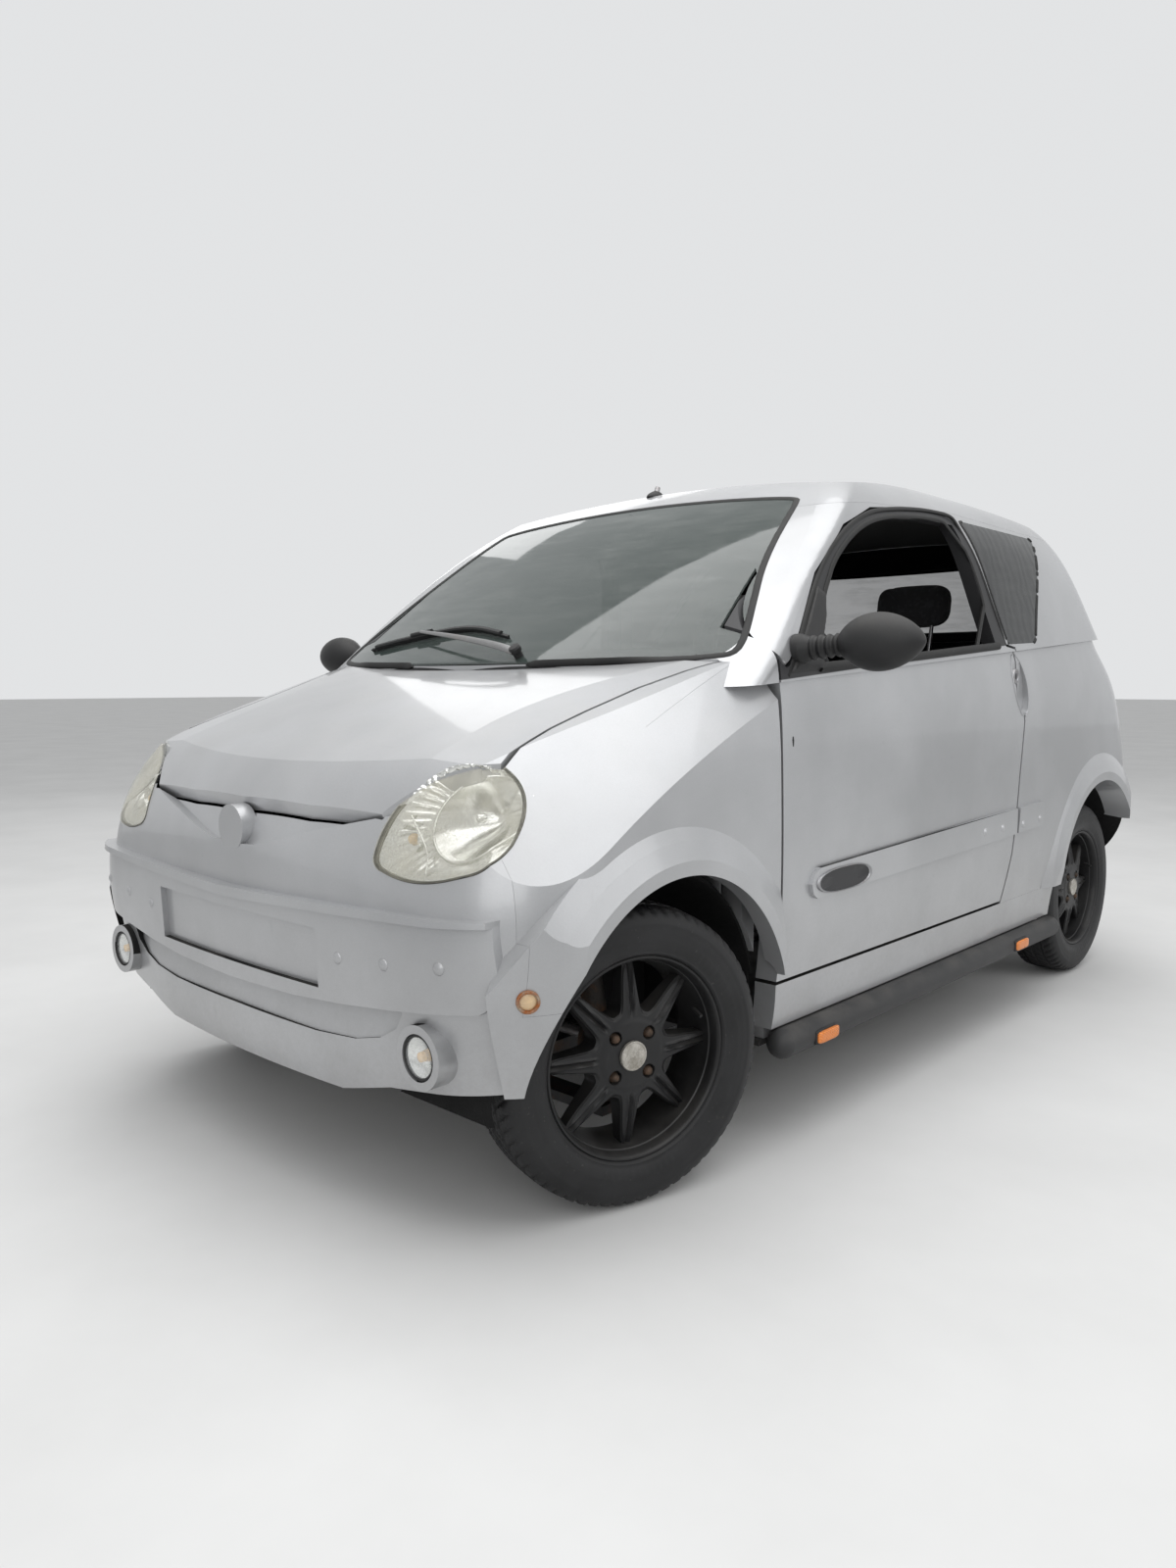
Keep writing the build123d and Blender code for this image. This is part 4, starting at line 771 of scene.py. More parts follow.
@dataclass(frozen=True)
class Lens(Finish):
    """Moulded clear plastic gone hazy and yellow, with fine crazing."""

    haze: float = 0.45
    clear: float = 0.22

    def dress(self, g: Graph, shader: bpy.types.Node) -> None:
        """Haze is cloudy noise between a clear and a milky alpha, and thickens at a glancing view."""
        place = g.place()
        cloud = g.span(g.noise(place, 16.0, 6, 0.65), 0.32, 0.66)
        fine = g.span(g.noise(place, 240.0, 3, 0.7), 0.45, 0.75)
        scratches = use_effect(g, Effect.SCRATCHES, place, Scale=60.0, Amount=0.7)
        weight = g.node("LayerWeight", {"Blend": 0.35}).outputs["Facing"]
        haze = g.span(g.math("ADD", g.math("MULTIPLY", cloud, 0.7), g.math("MULTIPLY", fine, 0.3)), 0, 1,
            self.clear, self.haze)
        alpha = g.math("ADD", haze, g.math("MULTIPLY", weight, 0.30))
        alpha = g.math("ADD", alpha, g.math("MULTIPLY", scratches, 0.2), clamp=True)
        milk = tuple(min(1.0, c * 1.18 + 0.03) for c in self.colour)
        rough = g.span(cloud, 0, 1, self.rough, self.rough + 0.16)
        self.join(
            g, shader, Base_Color=g.mix(cloud, self.colour, milk), Alpha=alpha, Roughness=rough, IOR=1.49,
            Coat_Weight=0.6, Coat_Roughness=0.08, Normal=g.bump(fine, 0.15, 0.0003),
        )


@dataclass(frozen=True)
class Metal(Finish):
    """Bare or painted metal parts, with stains and wear."""

    metal: float = 1.0
    stain: Colour = (0.10, 0.055, 0.03)
    rust: float = 0.25
    pits: float = 0.0006

    def dress(self, g: Graph, shader: bpy.types.Node) -> None:
        """Rust spreads in patches of two sizes of noise; it is dull and not metallic."""
        place = g.place()
        patch = g.math("MULTIPLY", g.noise(place, 24.0, 6, 0.68), g.noise(place, 7.0, 3, 0.5))
        stain = g.math("MULTIPLY", g.span(patch, 0.24, 0.36), self.rust, clamp=True)
        scratches = use_effect(g, Effect.SCRATCHES, place, Scale=60.0, Amount=0.5)
        fine = g.noise(place, 320.0, 3, 0.6)
        colour = g.mix(g.span(fine, 0.35, 0.65), tuple(c * 0.86 for c in self.colour),
            tuple(min(1, c * 1.1) for c in self.colour))
        colour = g.mix(stain, colour, g.mix(fine, self.stain, tuple(min(1, c * 2.4) for c in self.stain)))
        rough = g.math("ADD", g.math("MULTIPLY", stain, 0.45),
            g.math("MULTIPLY_ADD", scratches, 0.12, self.rough), clamp=True)
        metal = g.math("MULTIPLY", self.metal, g.math("SUBTRACT", 1.0, stain), clamp=True)
        height = g.math("ADD", fine, g.math("MULTIPLY", stain, 2.0))
        self.join(g, shader, Base_Color=colour, Metallic=metal, Roughness=rough,
            Normal=g.bump(height, 0.4, self.pits))


@dataclass(frozen=True)
class Cloth(Finish):
    """Woven seat cloth with a soft sheen, worn paler in patches, and a small two-tone fleck."""

    threads: float = 420.0
    fleck: Colour = (0.05, 0.05, 0.055)
    fleck_scale: float = 120.0

    def dress(self, g: Graph, shader: bpy.types.Node) -> None:
        """The weave gives the bump and darkens the gaps between threads as painted shade, cells give the fleck."""
        place = g.place()
        weave = use_effect(g, Effect.WEAVE, place, Threads=self.threads)
        fleck = use_effect(g, Effect.FLAKES, place, Scale=self.fleck_scale)
        cloud = g.span(g.noise(place, 5.0, 5, 0.6), 0.3, 0.7)
        base = g.mix(g.span(fleck, 0.72, 0.8), self.colour, self.fleck)
        base = g.mix(g.math("MULTIPLY", cloud, 0.35), base, tuple(c * 1.7 + 0.01 for c in self.colour))
        # painted shade: the low gaps between threads fall to a third of the cloth's colour
        base = g.mix(g.span(weave, 0.15, 0.8), tuple(c * 0.35 for c in self.colour), base)
        fuzz = g.noise(place, 900.0, 2, 0.7)
        height = g.math("ADD", weave, g.math("MULTIPLY", fuzz, 0.5))
        self.join(
            g, shader, Base_Color=base, Roughness=self.rough, Sheen_Weight=0.25, Sheen_Roughness=0.5,
            Normal=g.bump(height, 0.7, 0.0006),
        )


@dataclass(frozen=True)
class Glow(Finish):
    """A coloured lamp lens with fine flutes moulded across it."""

    flutes: float = 330.0
    alpha: float = 0.95

    def dress(self, g: Graph, shader: bpy.types.Node) -> None:
        """Flutes are a sine along Z and X of the piece; the colour deepens between them as painted shade."""
        place = g.place()
        xyz = g.parts(place)
        wave = g.math("SINE",
            g.math("MULTIPLY", g.math("ADD", xyz.outputs[2], g.math("MULTIPLY", xyz.outputs[0], 0.35)),
            self.flutes * 6.2832))
        fine = g.noise(place, 60.0, 4, 0.6)
        # painted shade: the troughs between flutes darken to a little over half the lens colour
        deep = tuple(c * 0.55 for c in self.colour)
        colour = g.mix(g.span(wave, -1, 1), deep, self.colour)
        colour = g.mix(g.span(fine, 0.55, 0.75, 0, 0.06), colour, (0.4, 0.36, 0.3))
        self.join(
            g, shader, Base_Color=colour, Roughness=g.span(fine, 0.3, 0.7, self.rough, self.rough + 0.2),
            Alpha=self.alpha,
            Coat_Weight=0.5, Coat_Roughness=0.1, Normal=g.bump(wave, 0.45, 0.0009),
        )


# The car's finishes
SILVER = Paint("silver_paint", (0.43, 0.435, 0.445), 0.33)
DOOR_SILVER = Paint("silver_and_black_frame", (0.43, 0.435, 0.445), 0.33, frame_height=0.9791,
    frame_rise=0.0843)
TRIM = Plastic("black_trim", (0.012, 0.012, 0.0125), 0.50, dust=0.12)
TUBE = Plastic("black_tube", (0.022, 0.022, 0.023), 0.46, fade=0.5, dust=0.18)
LINER = Plastic("inner_lining", (0.034, 0.034, 0.036), 0.74, grain=420.0, dust=0.15, gloss=0.15)
HEADLINER = Cloth("headliner", (0.050, 0.050, 0.054), 0.9, threads=300.0)
DASH = Plastic("dashboard_grain", (0.022, 0.022, 0.024), 0.62, grain=380.0, depth=0.0004)
LEATHER = Plastic("steering_wheel_grain", (0.016, 0.016, 0.017), 0.48, grain=520.0, fade=0.2)
UNDERSEAL = Plastic("underseal", (0.028, 0.027, 0.026), 0.85, grain=160.0, depth=0.0015, dust=0.4, gloss=0.15)
HOUSING = Plastic("wheel_housing", (0.009, 0.009, 0.009), 0.8, grain=220.0, depth=0.0008, dust=0.15,
    gloss=0.10)
SEAL = Rubber("seal_rubber", (0.008, 0.008, 0.008), 0.58, dust=0.08)
TYRE = Rubber("tyre_rubber", (0.0075, 0.0075, 0.008), 0.52, dust=0.08)
SCREEN = Glass("windscreen_glass", (0.045, 0.060, 0.055), 0.03, facing_alpha=0.34)
DARK_GLASS = Glass("dark_window_film", (0.006, 0.0075, 0.008), 0.06, facing_alpha=0.9, edge_alpha=0.97,
    dust=0.04, gloss=0.32, ripple=0.0006)
CLEAR_GLASS = Glass("side_glass", (0.05, 0.065, 0.06), 0.03, facing_alpha=0.24)
HAZED = Lens("hazed_lens", (0.50, 0.48, 0.38), 0.14, haze=0.24, clear=0.07)
CLEAR = Lens("clear_lens", (0.72, 0.74, 0.75), 0.05, haze=0.16, clear=0.06)
CHROME = Metal("lamp_reflector", (0.74, 0.745, 0.72), 0.18, rust=0.0, pits=0.0002)
MIRROR = Metal("mirror_glass", (0.80, 0.81, 0.82), 0.03, rust=0.0, pits=0.00002)
WHEEL_BLACK = Plastic("wheel_paint", (0.007, 0.007, 0.0075), 0.38, grain=260.0, depth=0.00015, dust=0.12)
WORN_CAP = Metal("worn_centre_cap", (0.52, 0.50, 0.46), 0.42, stain=(0.13, 0.12, 0.10), rust=0.9, pits=0.0006)
NUT = Metal("wheel_nut", (0.050, 0.042, 0.036), 0.46, rust=0.5)
RUSTY = Metal("rusty_ring", (0.36, 0.30, 0.23), 0.5, stain=(0.16, 0.052, 0.014), rust=1.6)
CAST = Metal("cast_iron", (0.075, 0.068, 0.062), 0.62, metal=0.7, rust=0.8)
FRAME_BLACK = Metal("chassis_paint", (0.026, 0.026, 0.027), 0.55, metal=0.2, rust=0.5)
STEEL = Metal("plain_steel", (0.34, 0.34, 0.35), 0.38, rust=0.35)
ALLOY = Metal("cast_alloy", (0.34, 0.34, 0.335), 0.5, rust=0.3)
SEAT_CLOTH = Cloth("seat_cloth", (0.030, 0.030, 0.033), 0.88, fleck=(0.055, 0.057, 0.064))
AMBER = Glow("amber_lens", (0.95, 0.26, 0.015), 0.22)
RED = Glow("red_lens", (0.30, 0.006, 0.005), 0.2)
BULB = Lens("bulb_glass", (0.80, 0.55, 0.28), 0.08, haze=0.7, clear=0.45)
BADGE = Plastic("blank_badge", (0.022, 0.022, 0.024), 0.4, fade=0.3)


def node_body(node: str) -> str:
    """The body that a CAD node rides on."""
    bodies = frame["record"]["behaviour"]["bodies"]
    return next(body for body, nodes in bodies.items() if node in nodes)


def on_side(outline: Array, *nodes: str) -> tuple[Array, Array]:
    """Points and normals of the left side's skin, from stations and heights in metres."""
    outline = np.asarray(outline, float)
    return Skin(*nodes).meet(np.stack([at_station(outline[:, 0]), outline[:, 1]], -1), axis=0, sign=1)


def on_front(outline: Array, *nodes: str) -> tuple[Array, Array]:
    """Points and normals of the skin met from the front, from half widths and heights in metres."""
    return Skin(*nodes).meet(np.asarray(outline, float), axis=1, sign=-1)


def dome(surface: Surface, point: Array, normal: Array, radius: float, height: float, slot: int = 0) -> None:
    """A low round head on a surface: its height falls off as the square of the radius."""
    shares = np.linspace(1, 0, 7)
    profile = [(-0.002, radius)] + [(height * (1 - s * s), radius * s) for s in shares]
    surface.lathe(profile, point, normal, 20, slot)


@dataclass
class Studio:
    """Pale floor, soft lights and the camera at the photograph's viewing angle."""

    camera_place: tuple[float, float, float] = (1.826, -2.482, 0.914)
    yaw: float = math.radians(42.81)
    pitch: float = math.radians(5.35)
    lens: float = 24.98
    floor_half: float = 60.0
    ambient: float = 0.62
    overhead: float = 190.0

    def build(self) -> None:
        """Makes the floor, the world, the lamps and the camera."""
        self.floor()
        self.world()
        self.lamp("overhead_lamp", (0.4, -0.6, 4.6), (0, 0, 0.4), 5.5, self.overhead)
        self.lamp("front_lamp", (3.2, -4.6, 2.8), (0.2, -0.4, 0.6), 3.6, 62.0)
        self.lamp("side_lamp", (5.2, 1.4, 2.4), (0.4, 0.2, 0.7), 3.4, 46.0)
        self.lamp("rear_lamp", (-4.5, 3.8, 3.0), (0, 0.4, 0.7), 3.4, 55.0)
        self.camera()
        scene = bpy.context.scene
        scene.view_settings.view_transform = "Standard"

    def floor(self) -> None:
        """A wide grid at the ground, with faint mottling."""
        surface = Surface()
        reach = np.linspace(-self.floor_half, self.floor_half, 9)
        x, y = np.meshgrid(reach, reach, indexing="ij")
        surface.grid(np.stack([x, y, np.full_like(x, -0.0005)], -1))
        mesh = bpy.data.meshes.new("studio_floor")
        mesh.from_pydata(surface.points[0].tolist(), [], surface.faces[0].tolist())
        if mesh.polygons[0].normal.z < 0:
            mesh.flip_normals()
        material = bpy.data.materials.new("pale_floor")
        material.use_nodes = True
        g = Graph(material.node_tree)
        shader = material.node_tree.nodes["Principled BSDF"]
        tone = g.mix(g.span(g.noise(g.place(), 1.5, 5, 0.6), 0.3, 0.7), (0.60, 0.60, 0.595),
            (0.66, 0.66, 0.655))
        material.node_tree.links.new(tone, shader.inputs["Base Color"])
        shader.inputs["Roughness"].default_value = 0.75
        mesh.materials.append(material)
        obj = bpy.data.objects.new("studio_floor", mesh)
        bpy.context.scene.collection.objects.link(obj)

    def world(self) -> None:
        """Even light on the object, and a pale wall for what the camera, gloss and glass see."""
        world = bpy.data.worlds.new("studio")
        bpy.context.scene.world = world
        world.use_nodes = True
        tree = world.node_tree
        tree.nodes.clear()
        g = Graph(tree)
        path = g.node("LightPath").outputs
        seen = g.math("MAXIMUM", path["Is Camera Ray"],
            g.math("MAXIMUM", path["Is Glossy Ray"], path["Is Transmission Ray"]))
        light = g.node("Background", {"Color": (0.98, 0.99, 1.0, 1), "Strength": self.ambient})
        wall = g.node("Background", {"Color": (0.83, 0.84, 0.85, 1), "Strength": 0.92})
        both = g.node("MixShader", {0: seen, 1: light.outputs[0], 2: wall.outputs[0]})
        g.node("OutputWorld", {"Surface": both.outputs[0]})

    def lamp(
        self, name: str, place: Sequence[float], target: Sequence[float], size: float, power: float
    ) -> None:
        """A square soft lamp that faces a target."""
        data = bpy.data.lights.new(name, "AREA")
        data.size = size
        data.energy = power
        obj = bpy.data.objects.new(name, data)
        obj.location = place
        obj.rotation_euler = (Vector(target) - Vector(place)).to_track_quat("-Z", "Y").to_euler()
        bpy.context.scene.collection.objects.link(obj)

    def camera(self) -> None:
        """The camera, turned by yaw from straight ahead and pitched a little down."""
        data = bpy.data.cameras.new("photo_camera")
        data.lens = self.lens
        data.sensor_width = 36.0
        obj = bpy.data.objects.new("photo_camera", data)
        ahead = Vector((
            -math.sin(self.yaw) * math.cos(self.pitch), math.cos(self.yaw) * math.cos(self.pitch),
            -math.sin(self.pitch)
        ))
        obj.location = self.camera_place
        obj.rotation_euler = ahead.to_track_quat("-Z", "Y").to_euler()
        bpy.context.scene.collection.objects.link(obj)
        bpy.context.scene.camera = obj


@dataclass
class Coachwork:
    """Smooth copies of the CAD solids, each with its outer finish and the lining of its inner faces."""

    inward: float = 0.30
    middle_low: float = -0.35
    middle_high: float = 0.75
    middle_height: float = 0.80

    def build(self) -> None:
        """Dresses every solid that keeps its own shape."""
        for node in ("fender_left", "fender_right", "front_bumper", "sills", "rear_bumper"):
            self.dress(node, SILVER, HOUSING)
        for node in ("quarter_left", "quarter_right"):
            self.dress(node, SILVER, HOUSING)
        for node in ("tailgate", "cabin_frame"):
            self.dress(node, SILVER, LINER)
        self.dress("hood", SILVER, SILVER)
        self.dress("roof_panel", SILVER, HEADLINER)
        for node in ("door_left", "door_right"):
            self.dress(node, DOOR_SILVER, LINER)
        self.dress("windscreen", SCREEN)
        self.dress("tailgate_glass", CLEAR_GLASS)
        self.dress("door_glass_right", CLEAR_GLASS)
        self.dress("quarter_glasses", DARK_GLASS)
        self.dress("side_tubes", TUBE)
        self.dress("dashboard", DASH)
        self.dress("floor_pan", UNDERSEAL, LINER, upward=True)
        self.dress("chassis_rails", FRAME_BLACK)
        self.dress("wheel_housings", HOUSING)
        for node in ("knuckle_left", "knuckle_right"):
            self.dress(node, CAST)
        for node in ("rear_axle", "front_arms"):
            self.dress(node, FRAME_BLACK)
        for node in ("drive_shafts", "tie_rods"):
            self.dress(node, STEEL)
        for node in ("rack_housing", "engine"):
            self.dress(node, ALLOY)

    def dress(self, node: str, outer: Finish, inner: Finish | None = None,
            upward: bool = False) -> bpy.types.Object:
        """Makes the smooth copy of one node, which then stands for it.

        A face belongs to the inner finish when its normal points to the nearest point of a line
        along the middle of the cabin, or straight up for a floor.

        Args:
            node: The CAD node.
            outer: Its finish.
            inner: The finish of its inner faces, if it has one.
            upward: Whether inner faces are those that look up.

        Returns:
            The copy.
        """
        mesh = frame["nodes"][node].data.copy()
        mesh.name = node + "_shell"
        mesh.materials.clear()
        count = len(mesh.polygons)
        normals = np.zeros(count * 3)
        centres = np.zeros(count * 3)
        mesh.polygons.foreach_get("normal", normals)
        mesh.polygons.foreach_get("center", centres)
        normals, centres = normals.reshape(-1, 3), centres.reshape(-1, 3)
        if upward:
            inside = normals[:, 2] > 0.5
        else:
            middle = np.stack([
                np.zeros(count), np.clip(centres[:, 1], self.middle_low, self.middle_high),
                np.full(count, self.middle_height),
            ], -1)
            inside = (normals * unit(middle - centres)).sum(-1) > self.inward
        slots = (inside & (inner is not None)).astype(np.int32)
        mesh.polygons.foreach_set("material_index", slots)
        finishes = [outer] if inner is None else [outer, inner]
        obj = placed(node + "_shell", mesh, finishes, node_body(node))
        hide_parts(node)
        return obj


@dataclass
class Tyre:
    """A narrow road tyre: ribs, sipes and rings are changes of radius over a round profile."""

    radius: float = 0.2665
    half: float = 0.0722
    bead: float = 0.1805
    columns: int = 320
    blocks: int = 64
    groove: float = 0.0055

    def profile(self) -> Array:
        """The outline across the tyre, from the outer bead over the tread to the inner bead and back inside."""
        side = np.array([
            (0.0600, 0.1805), (0.0645, 0.1825), (0.0665, 0.1855), (0.0660, 0.1880), (0.0682, 0.1925),
            (0.0703, 0.2000),
            (0.0716, 0.2080), (0.0721, 0.2110), (0.0717, 0.2140), (0.0722, 0.2200), (0.0719, 0.2270),
            (0.0711, 0.2330),
            (0.0714, 0.2350), (0.0704, 0.2390), (0.0683, 0.2450), (0.0650, 0.2520), (0.0617, 0.2567),
            (0.0580, 0.2602),
        ])
        tread = np.linspace(0.055, -0.055, 56)
        crown = self.radius - 0.0042 * (np.abs(tread) / 0.055) ** 2.6
        top = np.stack([tread, crown], -1)
        inner = side[::-1] * np.array([-1, 1])
        closing = np.array([(-0.057, 0.1790), (0.0, 0.1785), (0.057, 0.1790)])
        return np.concatenate([side, top, inner, closing])

    def relief(self, across: Array, radius: Array, turn: Array) -> Array:
        """How deep the tread is cut at a place across the tyre and an angle round it.

        Three grooves run round; slanting sipes cut the middle ribs and wider notches the shoulders.
        """
        run = np.minimum.reduce([np.abs(across), np.abs(np.abs(across) - 0.031)])
        rounds = 1 - smooth(run, 0.0026, 0.0040)
        phase = (turn * self.blocks / (2 * np.pi) + across * 26) % 1
        notch = (1 - smooth(np.abs(phase - 0.5), 0.10, 0.17)) * smooth(np.abs(across), 0.0345, 0.0375)
        phase = (turn * self.blocks / (2 * np.pi) - across * 40 + 0.25) % 1
        sipe = (1 - smooth(np.abs(phase - 0.5), 0.06, 0.12)) * (1
            - smooth(np.abs(across), 0.026, 0.029)) * 0.5
        on_tread = smooth(radius, 0.2535, 0.2585)
        return self.groove * np.maximum(np.maximum(rounds, notch * 0.8), sipe) * on_tread

    def add(self, surface: Surface, centre: Array, axes: tuple[Array, Array, Array]) -> None:
        """Adds the tyre: centre + across x axle + (radius - relief) x (cos u, sin u)."""
        line = self.profile()
        turn = np.linspace(0, 2 * np.pi, self.columns, endpoint=False)[None]
        across, radius = line[:, 0:1], line[:, 1:2]
        bars = 0.0007 * (np.sin(turn * 150) > 0) * (1 - smooth(np.abs(radius - 0.2420), 0.0015, 0.0035))
        marks = 0.0007 * (np.sin(turn * 90) > -0.2) * (1 - smooth(np.abs(radius - 0.2040), 0.0050, 0.0062))
        marks = marks * (np.sin(turn * 3) > 0.35)
        widened = across + np.sign(across) * (bars + marks) * (radius < 0.25) * (np.abs(across) > 0.065)
        reach = radius - self.relief(across, radius, turn)
        axle, side, up = axes
        points = centre + widened[..., None] * axle + reach[..., None] * (
            np.cos(turn)[..., None] * side + np.sin(turn)[..., None] * up
        )
        surface.grid(points, around=True, closed=True)


@dataclass
class StarRim:
    """A black alloy rim: eight slender grooved spokes in a star, four nut recesses and a worn cap."""

    spokes: int = 8
    valley: float = 0.078
    tip: float = 0.166
    spoke_half: float = math.radians(3.6)
    face: float = 0.0405
    depth: float = 0.020
    hub: float = 0.064
    nut_circle: float = 0.049
    nut_hole: float = 0.0125
    cap: float = 0.0262
    columns: int = 336

    def plate(self, surface: Surface, centre: Array, axes: tuple[Array, Array, Array]) -> None:
        """The star: its edge is valley + (tip - valley) x (1 - angle from the spoke)^3, its face slopes
        back towards the tips, and the groove and the nut recesses are cut in its height."""
        turn = np.linspace(0, 2 * np.pi, self.columns, endpoint=False)[None]
        half_step = math.pi / self.spokes
        off = np.abs((turn + half_step) % (2 * half_step) - half_step)
        share = np.clip(1 - np.maximum(off - self.spoke_half, 0) / (half_step - self.spoke_half), 0, 1)
        edge = self.valley + (self.tip - self.valley) * share ** 3.2
        inner = np.linspace(0, self.hub, 34)[:, None]
        outer = self.hub + (edge - self.hub) * np.linspace(0, 1, 30)[1:, None]
        radius = np.concatenate([np.broadcast_to(inner, (34, self.columns)), outer])
        run = radius * np.sin(off)
        height = self.face - 0.013 * smooth(radius, 0.060,
            self.tip) + 0.002 * (1 - smooth(radius, 0.055, 0.068))
        crest = 0.0030 * np.exp(-((run - 0.0052) / 0.0024) ** 2) - 0.0035 * np.exp(-(run / 0.0030) ** 2)
        height = height + crest * smooth(radius, 0.066, 0.080)
        height = height - 0.0035 * smooth(radius / edge, 0.90, 1.0) * smooth(radius, self.hub, 0.075)
        quarter = np.abs((turn - np.pi / 4 + np.pi / 4) % (np.pi / 2) - np.pi / 4)
        away = np.sqrt(np.maximum(radius ** 2 + self.nut_circle ** 2 - 2 * radius * self.nut_circle
            * np.cos(quarter), 0))
        height = height - 0.0085 * (1 - smooth(away, self.nut_hole - 0.002, self.nut_hole))
        back = np.stack([np.full_like(edge[0], self.face - 0.019 - self.depth), edge[0] + 0.003], -1)
        rows = np.stack([height, radius], -1)
        back_ring = np.stack([back[:, 0], np.full(self.columns, self.hub)], -1)
        back_pole = np.stack([back[:, 0], np.zeros(self.columns)], -1)
        rows = np.concatenate([rows, back[None], back_ring[None], back_pole[None]])
        axle, side, up = axes
        spread = np.cos(turn)[..., None] * side + np.sin(turn)[..., None] * up
        surface.grid(centre + rows[..., 0:1] * axle + rows[..., 1:2] * spread, around=True)

    def barrel(self, surface: Surface, centre: Array, axle: Array) -> None:
        """The rim's well with a rolled lip on both sides, turned about the axle."""
        profile = [
            (0.0560, 0.1800), (0.0612, 0.1802), (0.0626, 0.1785), (0.0622, 0.1758), (0.0600, 0.1738),
            (0.0570, 0.1722),
            (0.0500, 0.1700), (0.0420, 0.1688), (0.0400, 0.1668), (0.0330, 0.1655), (0.0150, 0.1640),
            (-0.0200, 0.1570),
            (-0.0480, 0.1600), (-0.0560, 0.1700), (-0.0600, 0.1750), (-0.0600, 0.1800), (-0.0400, 0.1802),
            (0.0560, 0.1800),
        ]
        surface.lathe(profile, centre, axle, 128)

    def drum(self, surface: Surface, centre: Array, axle: Array) -> None:
        """The brake drum that shows between the spokes."""
        profile = [
            (-0.036, 0.0), (-0.036, 0.060), (-0.006, 0.071), (0.010, 0.0715), (0.0145, 0.069),
            (0.0155, 0.064),
            (0.0195, 0.060), (0.0195, 0.0),
        ]
        surface.lathe(profile, centre, axle, 72, slot=1)

    def fittings(self, surface: Surface, centre: Array, axes: tuple[Array, Array, Array]) -> None:
        """Dome nuts in the recesses, and the cap at the middle with its rolled edge."""
        axle, side, up = axes
        nut = [
            (0.0300, 0.0098), (0.0360, 0.0098), (0.0385, 0.0088), (0.0425, 0.0080), (0.0462, 0.0060),
            (0.0478, 0.0030),
            (0.0482, 0.0),
        ]
        for angle in np.arange(4) * math.pi / 2 + math.pi / 4:
            place = centre + self.nut_circle * (math.cos(angle) * side + math.sin(angle) * up)
            surface.lathe(nut, place, axle, 24, slot=2)
        cap = [
            (0.0400, self.cap), (0.0478, self.cap), (0.0490, self.cap - 0.001), (0.0490, self.cap - 0.0028),
            (0.0476, self.cap - 0.0038), (0.0480, 0.012), (0.0483, 0.0),
        ]
        surface.lathe(cap, centre, axle, 64, slot=3)
        stem = centre + 0.152 * (math.cos(0.39) * side + math.sin(0.39) * up)
        surface.tube(np.linspace(stem + 0.030 * axle, stem + 0.052 * axle - 0.008 * up, 6), 0.0035, 10,
            up=side)


@dataclass
class Wheels:
    """Four wheels, each a tyre and a rim about its joint's axle."""

    tyre: Tyre
    rim: StarRim

    def build(self) -> None:
        """Puts both pieces of each wheel at its spin joint."""
        joints = {joint["name"]: joint for joint in frame["joints"]}
        for end in ("front", "rear"):
            for hand, sign in (("left", 1), ("right", -1)):
                joint = joints[f"wheel_{end}_{hand}_spin"]
                axle = unit(joint["axis"])
                axle = axle * sign * np.sign(axle[0])
                axes = square_axes(axle)
                self.wheel(f"{end}_{hand}", np.asarray(joint["pos_m"], float), axes)

    def wheel(self, name: str, centre: Array, axes: tuple[Array, Array, Array]) -> None:
        """One wheel's tyre and rim, riding on the wheel's body."""
        body = "wheel_" + name
        rubber = Surface()
        self.tyre.add(rubber, centre, axes)
        obj = rubber.piece(f"road_tyre_{name}", [TYRE], body, f"tyre_{name}", angle=40)
        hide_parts(f"tyre_{name}")
        metal = Surface()
        self.rim.plate(metal, centre, axes)
        self.rim.barrel(metal, centre, axes[0])
        self.rim.drum(metal, centre, axes[0])
        self.rim.fittings(metal, centre, axes)
        obj = metal.piece(f"star_rim_{name}", [WHEEL_BLACK, CAST, NUT, WORN_CAP], body, f"rim_{name}",
            angle=34)
        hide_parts(f"rim_{name}")


